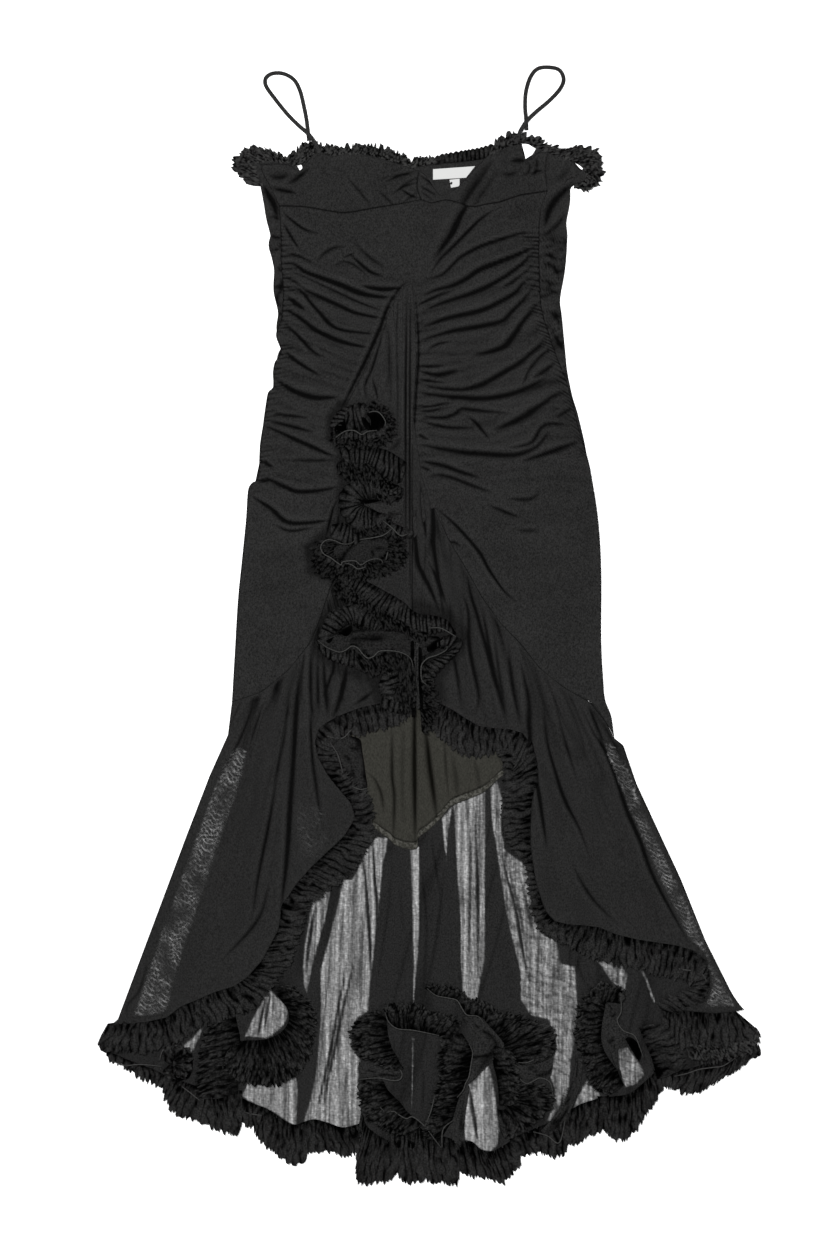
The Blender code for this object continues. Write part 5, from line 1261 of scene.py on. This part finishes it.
# The neck ruffle, round the back neckline and both armhole corners, lies on the table beyond the back.
NECK_RUFFLES = {
    "neck_ruffle_left": [
        ("curled", [(262, 184, 247, 184), (259, 174, 236, 174), (259, 166, 232, 163),
            (263, 163, 240, 152), (268, 162, 253, 147), (275, 163, 267, 149), (282, 164, 279, 154),
            (289, 165, 287, 156), (293, 163, 293, 151)]),
        ("curled", [(296, 163, 294, 152), (304, 160, 302, 145), (312, 157, 312, 143),
            (328, 158, 328, 145), (345, 159, 345, 146), (360, 158, 360, 143.5), (378, 160, 380, 147),
            (395, 164, 397, 152), (408, 167, 408, 157)]),
        ("curled", [(294, 165.5, 292, 156), (299, 165.5, 299, 154), (304, 163, 305, 152)]),
        ("curled", [(413, 169, 412, 161), (418, 167, 418, 156.5), (428, 165.5, 428, 157),
            (436, 165, 436, 157)]),
        ("ribbed", [(437, 164, 437, 155.5), (460, 162, 460, 151.5), (480, 160, 480, 148),
            (495, 155, 493, 144)]),
        ("curled", [(492, 157, 490, 146), (505, 149, 503, 136), (517, 146, 516, 133)]),
    ],
    "neck_ruffle_armhole": [
        ("curled", [(514, 144, 513, 133), (521, 144, 524, 134), (528, 144.5, 531, 135),
            (534, 148, 543, 141), (543, 152, 554, 145)]),
    ],
    "neck_ruffle_right": [
        ("curled", [(542, 153, 553, 144), (552, 155, 565, 149), (560, 159, 573, 147),
            (568, 163, 586, 145)]),
        ("curled", [(570, 161, 586, 145), (580, 166, 599, 152), (584, 171, 603, 165),
            (586, 176, 601, 181), (583, 182, 591, 190), (577, 184, 576, 191)]),
    ],
}
sew_on(NECK_RUFFLES, level=0.3, tall=2.2, seed=20, deepen_painted_shade=0.45)

# The front hem ruffles, along the flounces' lower edges from the centre front to the two outer corners.
HEM_RUFFLES = {
    "hem_ruffle_left": [
        ("inside", [(330, 741, 361, 737), (336, 750, 362, 748), (342, 763, 364, 761),
            (348, 778, 366, 776), (354, 789, 368, 788)]),
        ("gathered", [(411, 694, 413, 712), (395, 699, 402, 722), (378, 702, 385, 729),
            (360, 706, 366, 733), (345, 712, 350, 736), (330, 719, 338, 739), (318, 727, 333, 742),
            (314, 742, 334, 749), (317, 758, 339, 759), (326, 774, 344, 769), (339, 790, 354, 781),
            (350, 803, 370, 796), (354, 818, 374, 818), (343, 836, 370, 842), (328, 850, 358, 864),
            (310, 867, 344, 880), (295, 884, 325, 893), (282, 905, 309, 908), (277, 930, 301, 932),
            (261, 960, 292, 958), (246, 977, 272, 987), (234, 984, 254, 1008), (214, 990, 226, 1018),
            (196, 998, 205, 1024), (181, 1004, 189, 1035), (167, 1015, 172, 1044), (150, 1019, 149, 1051),
            (130, 1019, 122, 1051), (111, 1023, 97, 1048)]),
        ("plain", [(355, 825, 355, 836), (364, 822, 362, 843), (373, 833, 368, 846)]),
        ("overlock", [(327, 736), (342, 738), (350, 731), (354, 727)]),
        ("overlock", [(330, 742), (338, 755), (343, 773)]),
        ("overlock", [(352, 786), (360, 789), (367, 788)]),
    ],
    "hem_ruffle_right": [
        ("gathered", [(437, 701, 426, 722), (452, 708, 442, 740), (464, 716, 457, 752),
            (478, 724, 474, 757), (492, 727, 491, 755), (508, 726, 504, 751), (523, 731, 511, 760),
            (533, 744, 514, 768), (538, 762, 511, 776), (538, 782, 504, 788), (533, 803, 502, 806),
            (532, 825, 502, 828), (532, 845, 511, 847), (534, 862, 524, 863), (537, 880, 527, 882),
            (541, 898, 530, 900)]),
        ("gathered", [(512, 746, 500, 748), (516, 756, 499, 758), (518, 768, 502, 770),
            (519, 780, 504, 784)]),
        ("overlock", [(503, 805), (501, 820), (502, 835)]),
    ],
    "hem_ruffle_right_low": [
        ("gathered", [(540, 897, 530, 901), (545, 910, 533, 917), (554, 920, 541, 930),
            (567, 923, 556, 941), (582, 922, 575, 948), (598, 924, 590, 957), (615, 932, 610, 963),
            (635, 937, 634, 968), (655, 940, 653, 973), (675, 943, 670, 977), (692, 948, 684, 980),
            (706, 959, 694, 984)]),
        ("gathered", [(545, 921, 543, 931), (556, 922, 556, 940), (568, 925, 569, 941)]),
    ],
    "hem_ruffle_right_curl": [
        ("gathered", [(710, 972, 696, 980), (711, 988, 692, 988), (704, 1004, 682, 992),
            (688, 1012, 670, 996), (670, 1014, 656, 1002)]),
        ("painted_shade", [(679, 964, 678, 972), (690, 966, 690, 976), (700, 968, 702, 978)]),
        ("overlock", [(683, 957), (678, 962), (678, 968), (690, 970), (702, 974), (706, 981)]),
    ],
    "hem_ruffle_right_corner": [
        ("gathered", [(666, 1012, 663, 1030), (682, 1010, 682, 1046), (702, 1010, 702, 1044),
            (720, 1009, 720, 1046), (733, 1010, 741, 1043), (742, 1016, 753, 1038),
            (748, 1023, 761, 1034)]),
        ("curled", [(689, 1043, 690, 1060), (705, 1045, 707, 1062), (722, 1045, 727, 1060),
            (738, 1041, 744, 1055), (749, 1034, 757, 1047), (754, 1029, 760, 1038)]),
        ("gathered", [(640, 1030, 664, 1022), (646, 1045, 672, 1036), (652, 1060, 680, 1052),
            (656, 1076, 686, 1066)]),
    ],
}
sew_on(HEM_RUFFLES, level=2.6, tall=3.6, seed=30)

# The train's hem ruffle, on the table beyond its edge.
TRAIN_RUFFLES = {
    "train_ruffle_left": [
        ("gathered", [(110, 1052, 108, 1059), (125, 1058, 123, 1066), (140, 1064, 139, 1077),
            (156, 1070, 153, 1084), (170, 1078, 166, 1090)]),
        ("gathered", [(168, 1078, 164, 1090), (180, 1080, 167, 1104), (191, 1084, 180, 1115),
            (203, 1088, 198, 1123)]),
        ("gathered", [(203, 1090, 197, 1122), (215, 1092, 216, 1129), (228, 1091, 229, 1133),
            (239, 1090, 240, 1135)]),
        ("overlock", [(112, 1060), (125, 1065), (140, 1064), (162, 1066)]),
        ("overlock", [(182, 1086), (190, 1092), (200, 1100)]),
    ],
    "train_ruffle_bottom_left": [
        ("gathered", [(239, 1096, 240, 1124), (255, 1104, 251, 1127), (268, 1109, 262, 1142),
            (280, 1117, 276, 1154), (292, 1124, 291, 1163), (303, 1123, 307, 1165)]),
        ("gathered", [(301, 1123, 300, 1154), (313, 1119, 313, 1152), (327, 1122, 331, 1152),
            (342, 1127, 350, 1156), (358, 1124, 362, 1148)]),
        ("overlock", [(245, 1112), (254, 1114), (262, 1115)]),
    ],
    "train_ruffle_bottom": [
        ("gathered", [(362, 1110, 357, 1140), (366, 1124, 356, 1160), (374, 1132, 358, 1182),
            (388, 1140, 380, 1182), (400, 1142, 394, 1180)]),
        ("gathered", [(394, 1126, 392, 1164), (404, 1128, 402, 1180), (414, 1132, 414, 1182),
            (424, 1134, 426, 1180)]),
        ("gathered", [(420, 1128, 414, 1170), (432, 1132, 430, 1182), (442, 1136, 443, 1182),
            (450, 1138, 452, 1185), (456, 1142, 458, 1188)]),
        ("plain", [(463, 1088, 470, 1086), (458, 1108, 466, 1110), (452, 1124, 464, 1130),
            (448, 1144, 464, 1148), (450, 1164, 461, 1170)]),
        ("painted_shade", [(398, 1140, 400, 1152), (406, 1139, 407, 1152), (412, 1142, 412, 1150)]),
    ],
    "train_ruffle_bottom_right": [
        ("gathered", [(456, 1141, 458, 1172), (471, 1141, 474, 1176), (481, 1149, 490, 1179),
            (492, 1151, 503, 1182), (502, 1146, 514, 1173), (511, 1141, 523, 1158)]),
    ],
    "train_ruffle_right": [
        ("gathered", [(512, 1138, 523, 1156), (535, 1128, 540, 1153), (552, 1121, 557, 1157),
            (566, 1113, 568, 1150)]),
        ("gathered", [(562, 1115, 563, 1146), (578, 1105, 577, 1142), (592, 1100, 590, 1136),
            (606, 1096, 604, 1128)]),
        ("gathered", [(600, 1097, 600, 1124), (615, 1096, 614, 1139), (630, 1093, 630, 1137),
            (644, 1082, 648, 1112), (656, 1071, 664, 1090)]),
    ],
    "train_ruffle_corner": [
        ("gathered", [(656, 1070, 663, 1085), (685, 1069, 679, 1091), (705, 1064, 694, 1094),
            (725, 1059, 714, 1084), (742, 1053, 735, 1071), (756, 1046, 759, 1054)]),
        ("overlock", [(674, 1076), (687, 1073), (699, 1069), (713, 1067), (724, 1065), (740, 1054)]),
    ],
}
sew_on(TRAIN_RUFFLES, level=0.3, tall=3.0, seed=40, deepen_painted_shade=0.25)

# Where the train's hem is turned up, its ruffle lies on the train in bands, with the hem's back between.
TURNED_RUFFLES = {
    "turned_ruffle_far_left": [
        ("fringed", [(273, 990, 293, 984), (281, 1000, 305, 996), (288, 1010, 315, 1014),
            (288, 1022, 315, 1038), (281, 1032, 305, 1065), (269, 1038, 285, 1083),
            (256, 1040, 257, 1085), (246, 1040, 236, 1080), (238, 1042, 220, 1066)]),
    ],
    "turned_ruffle_left_corner": [
        ("fringed", [(236, 1020, 207, 1024), (240, 1036, 202, 1042), (240, 1054, 199, 1062),
            (238, 1074, 197, 1082), (238, 1090, 200, 1100)]),
        ("fringed", [(174, 1062, 160, 1058), (173, 1061, 165, 1046), (174, 1060, 178, 1043),
            (176, 1062, 189, 1050), (176, 1064, 191, 1066), (174, 1066, 181, 1078),
            (172, 1065, 162, 1074)]),
        ("painted_shade", [(176, 1070, 178, 1080), (184, 1058, 188, 1078), (190, 1056, 192, 1070)]),
        ("overlock", [(160, 1060), (163, 1050), (172, 1046), (180, 1045)]),
    ],
    "turned_ruffle_top": [
        ("fringed", [(427, 989, 430, 984), (436, 995, 440, 985), (448, 998, 452, 987),
            (457, 1001, 461, 990), (462, 1008, 470, 998)]),
        ("fringed", [(385, 1013, 372, 1014), (388.5, 1021, 382, 1008), (397, 1028, 395, 1003),
            (411, 1029.5, 409, 1003), (420, 1031, 424, 1006), (430, 1033, 438, 1013),
            (439, 1035, 453, 1014), (447, 1040, 463, 1022)]),
        ("plain", [(464, 1020, 478, 1017), (471, 1036, 494, 1031), (473, 1050, 504, 1045),
            (470, 1066, 489, 1064), (467, 1083, 471, 1081)]),
        ("overlock", [(427, 988), (436, 995), (448, 997.5), (457, 1000), (462, 1008), (467, 1014.5),
            (478, 1016), (484, 1023)]),
        ("overlock", [(385, 1011.5), (388.5, 1021), (397, 1028), (411, 1029.5), (420, 1031),
            (439, 1035)]),
    ],
    "turned_ruffle_left": [
        ("fringed", [(386, 1014, 368, 1013), (387, 1024, 354, 1023), (388, 1034, 350, 1035),
            (390, 1042, 353, 1048), (393, 1050, 362, 1058), (398, 1058, 380, 1065),
            (401, 1066, 396, 1070)]),
        ("plain", [(362, 1062, 360, 1077), (380, 1066, 379, 1078), (399, 1070, 398, 1078)]),
        ("overlock", [(380, 1065), (397, 1067.5), (402, 1073), (400, 1079), (392, 1080), (378, 1077.5),
            (359, 1079)]),
    ],
    "turned_ruffle_low": [
        ("fringed", [(384, 1084, 360, 1081), (390, 1092, 358, 1098), (400, 1102, 366, 1116),
            (408, 1112, 384, 1130), (420, 1122, 404, 1136)]),
        ("overlock", [(378, 1104), (385, 1111), (394, 1111), (397, 1113), (406, 1118), (413, 1116.5),
            (425, 1126), (434, 1138), (441, 1147)]),
    ],
    "turned_ruffle_right": [
        ("fringed", [(463, 1036, 441, 1035), (470, 1045, 440, 1046), (472, 1054, 439, 1057),
            (470, 1068, 438, 1072), (466, 1083, 438, 1085), (459, 1097, 433, 1098),
            (455, 1110, 429, 1112), (451, 1122, 425, 1126), (443, 1134, 424, 1138)]),
        ("overlock", [(469, 1043), (472.5, 1052), (471, 1064), (469, 1076), (465.5, 1083), (463, 1090),
            (457, 1097)]),
        ("overlock", [(453, 1120), (443, 1129), (442, 1147)]),
        ("overlock", [(435, 1094), (431, 1110), (425, 1126)]),
    ],
    "turned_ruffle_upper_right": [
        ("fringed", [(467, 1015, 469, 996), (481, 1017, 483, 1001), (487, 1023, 496, 1008),
            (495, 1032, 511, 1013), (503, 1042, 532, 1019), (505, 1049, 551, 1028),
            (511, 1057, 556, 1042), (520, 1062, 551, 1057)]),
        ("plain", [(519, 1063, 518, 1077), (535, 1062, 536, 1080), (550, 1058, 549, 1080)]),
        ("overlock", [(518, 1062), (527, 1062), (537, 1058), (549.5, 1056)]),
    ],
    "turned_ruffle_lower_right": [
        ("fringed", [(494, 1048, 513, 1053), (493, 1062, 517, 1064), (496, 1075, 519, 1076),
            (498, 1088, 519, 1088), (499, 1102, 518, 1102)]),
        ("fringed", [(514, 1090, 526, 1083), (514, 1094, 543, 1083), (512, 1098, 554, 1096),
            (510, 1102, 546, 1112), (507, 1106, 533, 1125), (503, 1110, 518, 1133),
            (500, 1108, 503, 1139)]),
        ("overlock", [(519, 1076), (521.5, 1080), (527, 1083), (534, 1080), (539, 1077.5), (546, 1079),
            (551, 1084), (553, 1097)]),
    ],
    "turned_ruffle_side": [
        ("fringed", [(606, 1001, 589, 991), (604, 1012, 577, 1006), (602, 1023, 575, 1022),
            (601, 1038, 576, 1040), (604, 1050, 580, 1052), (610, 1060, 585, 1069),
            (617, 1070, 592, 1086), (622, 1082, 604, 1096)]),
        ("plain", [(603, 1006, 620, 1008), (602, 1024, 618, 1022), (603, 1038, 628, 1035),
            (608, 1050, 620, 1044), (613, 1062, 617, 1058), (620, 1076, 621, 1072)]),
        ("painted_shade", [(627, 1041, 631, 1037), (631, 1049, 638, 1043), (637, 1058, 641, 1052)]),
        ("fringed", [(594, 998, 590, 986), (602, 1001, 604, 982), (610, 1002, 616, 984),
            (618, 1002, 625, 992)]),
        ("plain", [(576, 1062, 583, 1064), (571, 1085, 579, 1088), (559, 1110, 567, 1116),
            (543, 1128, 549, 1135)]),
        ("overlock", [(620, 992), (621, 1010), (617, 1020), (623, 1030), (634, 1035), (640, 1048),
            (643, 1057)]),
        ("overlock", [(533, 1131), (547, 1135), (559, 1142), (565, 1119)]),
    ],
}
sew_on(TURNED_RUFFLES, level=1.5, tall=3.2, seed=60, deepen_painted_shade=0.9)

# The cascade: a ruffled strip that runs down the centre front in turns, each lying on the drape.
CASCADE_RUFFLES = {
    "cascade_rose": [
        ("ribbed", [(346, 430, 329, 430), (347, 424, 331, 422), (349, 417, 338, 412),
            (354, 412, 348, 406)]),
        ("dotted", [(368, 412, 366, 403), (374, 412, 376, 403), (380, 413, 387, 409),
            (384, 419, 393, 417), (384, 426, 396, 428), (380, 431, 396, 438), (373, 435, 384, 445),
            (362, 437, 364, 448), (352, 437, 350, 447), (342, 435, 336, 446), (337, 430, 328, 437)]),
        ("painted_shade", [(338, 426, 336, 435), (344, 420, 343, 437), (350, 420, 350, 436),
            (355, 425, 356, 434)]),
        ("ribbed", [(350, 431, 346, 408), (356, 433, 353, 405), (362, 431, 360, 403.5),
            (368, 428, 368, 404)]),
        ("painted_shade", [(364.5, 418, 365, 427), (370, 412.5, 371, 433), (375, 411.5, 376, 433.5),
            (380, 413, 381, 430.5), (384, 419, 385, 426)]),
        ("ribbed", [(337, 437, 335, 445), (345, 431, 344, 440), (355, 430, 356, 439),
            (363, 434, 363, 443), (369, 431.5, 370, 440), (378, 431, 381, 438), (385, 424, 391, 427)]),
        ("dotted", [(338, 440, 337, 447), (350, 438, 350, 448), (364, 441, 364, 449),
            (377, 438, 380, 446)]),
        ("overlock", [(369, 413), (373, 412), (378, 412.5), (382, 416), (385.5, 422), (385, 427)]),
        ("overlock", [(336, 438), (345, 432), (354, 431), (362, 435), (368, 432), (377, 431)]),
    ],
    "cascade_band": [
        ("dotted", [(345, 456, 336, 470), (352, 458, 346, 481), (364, 466, 361, 484),
            (376, 474, 374, 486)]),
        ("painted_shade", [(367, 464, 365, 479), (375, 466, 374, 483), (383, 473, 382, 486)]),
        ("dotted", [(365, 463, 363, 472), (374, 467, 370, 479), (383, 478, 379, 488),
            (396, 484, 392, 493)]),
        ("ribbed", [(343, 448, 342, 464), (354, 448, 351, 467), (364, 449, 361, 468),
            (373, 448, 368, 464), (382, 449, 376, 469), (392, 453, 385, 478), (404, 461, 399, 486)]),
    ],
    "cascade_shell": [
        ("dotted", [(364, 524, 366, 538), (378, 522, 380, 536), (388, 518, 392, 532)]),
        ("plain", [(369, 502, 374, 512), (384, 500, 388, 521), (401, 499, 399, 524)]),
        ("ribbed", [(378, 499, 380, 479), (372, 498.5, 370, 476), (367, 499.5, 359, 478),
            (364.5, 501, 348, 484), (363.5, 502, 340, 494), (363.5, 503.5, 339, 507),
            (364.5, 505, 344, 519), (366.5, 506.5, 354, 529), (370, 508, 366, 536), (376, 511, 374, 534),
            (383, 515, 384, 524)]),
        ("ribbed", [(380, 485, 379, 499), (386, 482.5, 386, 501), (392, 483, 393, 501),
            (400, 488, 400, 499)]),
        ("dotted", [(380, 494, 380, 501), (388, 495, 388, 503), (398, 493, 399, 501)]),
        ("painted_shade", [(363, 500.5, 364, 504), (370, 499.5, 370, 503.5), (378, 499.5, 378, 502)]),
    ],
    "cascade_loop": [
        ("dotted", [(342, 545, 329, 536), (336, 547, 315, 543), (334, 552, 311, 557),
            (337, 557, 315, 570), (343, 560, 328, 579), (352, 562, 347, 581), (362, 563, 362, 581),
            (371, 562, 376, 579), (380, 559, 392, 573), (386, 552, 404, 564), (388, 545, 406, 549),
            (387, 538, 402, 534)]),
        ("inside", [(336, 559, 334, 543), (353, 563, 352, 537), (367, 562, 366, 535),
            (387, 560, 388, 538)]),
        ("ribbed", [(335, 525, 332, 541), (344, 523, 342, 545), (352, 528, 352, 546),
            (359, 534, 359, 543)]),
        ("ribbed", [(380, 518, 378, 530), (391, 522, 389, 537), (400, 526, 398, 538),
            (410, 530, 409, 539)]),
        ("ribbed", [(324, 548, 321, 556), (331, 556, 329, 564), (341, 562, 341, 570)]),
        ("overlock", [(383, 521), (392, 528), (398, 534), (402, 536), (408, 534)]),
        ("overlock", [(392, 529), (382, 536), (360, 540)]),
        ("overlock", [(355, 541), (350, 544), (342, 544), (335, 541), (328, 540), (323, 543), (321, 548),
            (324, 554), (331, 558), (341, 565), (343, 562), (355, 561), (361, 565), (368, 561),
            (376, 559), (381, 560), (383, 563)]),
        ("overlock", [(345, 563), (352, 565), (358, 569), (366, 567)]),
        ("overlock", [(388, 552), (387, 556), (386, 560)]),
    ],
    "cascade_diagonal": [
        ("dotted", [(344, 580, 332, 588), (353, 588, 344, 601), (364, 597, 356, 608),
            (375, 604, 370, 618), (387, 611, 383, 628), (399, 619, 396, 633)]),
        ("painted_shade", [(372, 608, 370, 620), (382, 611, 381, 630), (393, 618, 392, 632)]),
        ("ribbed", [(349, 573, 340, 582), (362, 579, 352, 591), (374, 585, 363, 599),
            (385, 591, 374, 607), (396, 597, 386, 614), (405, 603, 397, 621), (412, 610, 408, 628),
            (420, 614, 419, 632), (430, 615, 430, 634), (440, 617, 439, 632), (448, 621, 446, 631),
            (454, 631, 452, 634)]),
        ("dotted", [(404, 622, 402, 634), (412, 628, 412, 640), (424, 632, 424, 641)]),
        ("overlock", [(428, 628), (440, 628), (450, 633), (456, 637)]),
    ],
    "cascade_lobe_left": [
        ("ribbed", [(331, 639, 318, 639), (336, 633, 323, 625), (343, 627, 331, 611),
            (350, 624, 345, 606), (357, 628, 359, 604), (365, 631, 372, 609), (373, 633, 380, 617),
            (383, 631, 386, 625)]),
        ("painted_shade", [(329, 638, 330, 644), (339, 632, 340, 641), (349, 626, 350, 636)]),
    ],
    "cascade_edge": [
        ("ribbed", [(318, 641, 320, 651), (331, 649, 329, 659), (343, 651, 342, 664),
            (354, 647, 355, 668), (363, 654, 364, 673)]),
        ("dotted", [(358, 649, 360, 671), (374, 656, 377, 676), (384, 651, 387, 673),
            (396, 651, 396, 676)]),
        ("dotted", [(398, 652, 394, 668), (406, 655, 401, 684), (414, 662, 414, 702)]),
        ("inside", [(320, 643, 320, 638), (333, 651, 332, 632), (342, 653, 342, 629),
            (353, 648, 352, 628)]),
        ("inside", [(353, 648, 352, 631), (373, 657, 372, 629), (395, 652, 395, 630),
            (415, 658, 415, 636)]),
        ("overlock", [(318, 640), (325, 646), (333, 650), (340, 652), (346, 650), (352, 646), (358, 648),
            (363, 654), (368, 658), (374, 656), (380, 651), (395, 651), (405, 654), (411, 659),
            (413, 667)]),
    ],
    "cascade_lobe_right": [
        ("dotted", [(420, 668, 431, 669), (419, 682, 434, 684), (420, 696, 437, 698),
            (420, 708, 437, 714), (421, 720, 431, 727), (422, 728, 428, 734)]),
        ("inside", [(421, 657, 421, 638), (430, 653, 430, 636), (440, 648, 440, 637)]),
        ("ribbed", [(440, 648, 440, 636), (447, 650, 458, 637), (445, 654, 461, 647),
            (438, 657, 452, 658), (430, 661, 442, 668), (424, 667, 435, 676), (422, 674, 434, 684)]),
        ("painted_shade", [(429, 645, 430, 653), (434, 641, 435, 650), (440, 638, 441, 646)]),
        ("overlock", [(447, 646), (446, 650), (437, 655), (428, 658), (422, 664), (421, 672), (422, 680),
            (427, 685)]),
    ],
    "cascade_end": [
        ("dotted", [(401, 684, 388, 704), (404, 683, 402, 714), (409, 680, 414, 708),
            (412, 675, 419, 698)]),
        ("ribbed", [(401, 673, 385, 673), (402, 680, 379, 682), (401, 688, 379, 690),
            (398, 695, 383, 699)]),
        ("ribbed", [(386, 694, 382, 707), (395, 697, 392, 712), (405, 697, 404, 714),
            (413, 690, 416, 704)]),
        ("painted_shade", [(410.5, 642, 414.5, 642), (410.5, 680, 414.5, 680), (411.5, 714, 415.5, 714)]),
        ("painted_shade", [(418.5, 650, 422, 650), (418.5, 680, 422, 680), (420, 706, 423.5, 706)]),
        ("plain", [(413, 636, 420, 638), (413.4, 670, 419.6, 670), (414.5, 692, 420, 692),
            (416.5, 706, 420.5, 706)]),
    ],
}
sew_on(CASCADE_RUFFLES, level=6.6, tall=2.6, seed=110, deepen_painted_shade=0.5)


# The straps: two narrow flat bands of folded jersey, each sewn to its cup's peak and to the back's edge,
# that lie in a loop on the table and cross over themselves once.

# Painted light: this shade is below 0, so the straps' colour is paler than the body's.
STRAP_SHADE = -0.35
# A row is a place on the strap's line and the height of its top there, in mm.
STRAP_LEFT = [
    (319.5, 153.5, 4.8), (318, 149, 4.8), (313.5, 141, 4.4), (308, 134, 3.2), (299, 126, 2.2),
    (288, 115, 1.4), (275, 99, 1.2), (266, 86, 1.2), (266, 78, 1.2), (273, 73.5, 1.2), (284, 74, 1.2),
    (294, 80, 1.2), (300, 91, 1.2), (304, 107, 1.2), (306.5, 120, 1.2), (308, 132, 1.2), (309, 141, 1.2),
]
STRAP_RIGHT = [
    (516, 144, 4.8), (517.5, 139, 4.8), (520.5, 131, 3.9), (526.5, 121.5, 2.9), (536, 112, 2.0),
    (549, 101, 1.2), (560, 89, 1.2), (563.5, 79, 1.2), (559, 70, 1.2), (548, 67.4, 1.2), (537.5, 69, 1.2),
    (530.5, 77, 1.2), (526, 91, 1.2), (525, 106, 1.2), (526, 120, 1.2), (526.5, 130.5, 1.2),
]
# The band's section: how far to one side, in pixels, and how far above its top, in mm.
BAND = [
    (0.1, -0.5), (-1.3, -0.55), (-1.9, -0.5), (-2.0, -0.3), (-1.9, -0.05), (-1.0, 0.05), (0, 0.08),
    (1.0, 0.05), (1.9, -0.05), (2.0, -0.3), (1.9, -0.5), (1.3, -0.55), (0.3, -0.5),
]
for name, route, length in (("strap_left", STRAP_LEFT, 0.24), ("strap_right", STRAP_RIGHT, 0.22)):
    line = spaced(route, count=220, key=slice(0, 2))
    run = np.gradient(line[:, :2], axis=0)
    side = np.stack([-run[:, 1], run[:, 0]], axis=1) / np.linalg.norm(run, axis=1)[:, None]
    section = np.array(BAND)[None]
    places = line[:, None, :2] - section[..., :1] * side[:, None]
    height = line[:, 2:] + section[..., 1]
    strap = add_cloth(name + "_band", places, height, jersey, crease=np.full(height.shape, STRAP_SHADE))
    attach(strap, "root")
    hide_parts(name)


# The neck label and the size tab under it: plain white woven tape, sewn inside the back neck, the label
# over the tab.

# Painted shade: the white tape's colour is lowered to a grey for the slight shade on the label.
TAPE_COLOUR = (0.334, 0.334, 0.33, 1)


def white_tape(name):
    """Woven tape: fine noise drawn out across it."""
    tape = Finish(name, Base_Color=TAPE_COLOUR, Roughness=0.7)
    tape.show(Normal=tape.raised(tape.grain(900, 1, (0.3, 2, 1)), 0.00006))
    return tape


white_label = white_tape("white_label")
# A tape's name, its corners from the upper left clockwise, its height in mm and its flat size in metres.
for name, corners, level, flat in (
    ("neck_label", [(433, 169.5), (475, 166.5), (466, 178), (433, 180)], 2.6, (0.013, 0.053)),
    ("size_tab", [(449.5, 180), (459.5, 179), (459.5, 186.5), (451, 188)], 2.3, (0.010, 0.0125)),
):
    upper_left, upper_right, lower_right, lower_left = corners
    places = patch(
        top=[upper_left, upper_right],
        bottom=[lower_left, lower_right],
        left=[upper_left, lower_left],
        right=[upper_right, lower_right],
        across=24,
        down=10,
    )
    height = level + 0.25 * swell(places, size=22, seed=12)
    label = add_cloth(name + "_tape", places, height, white_label)
    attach(label, "root")
    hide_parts(name)
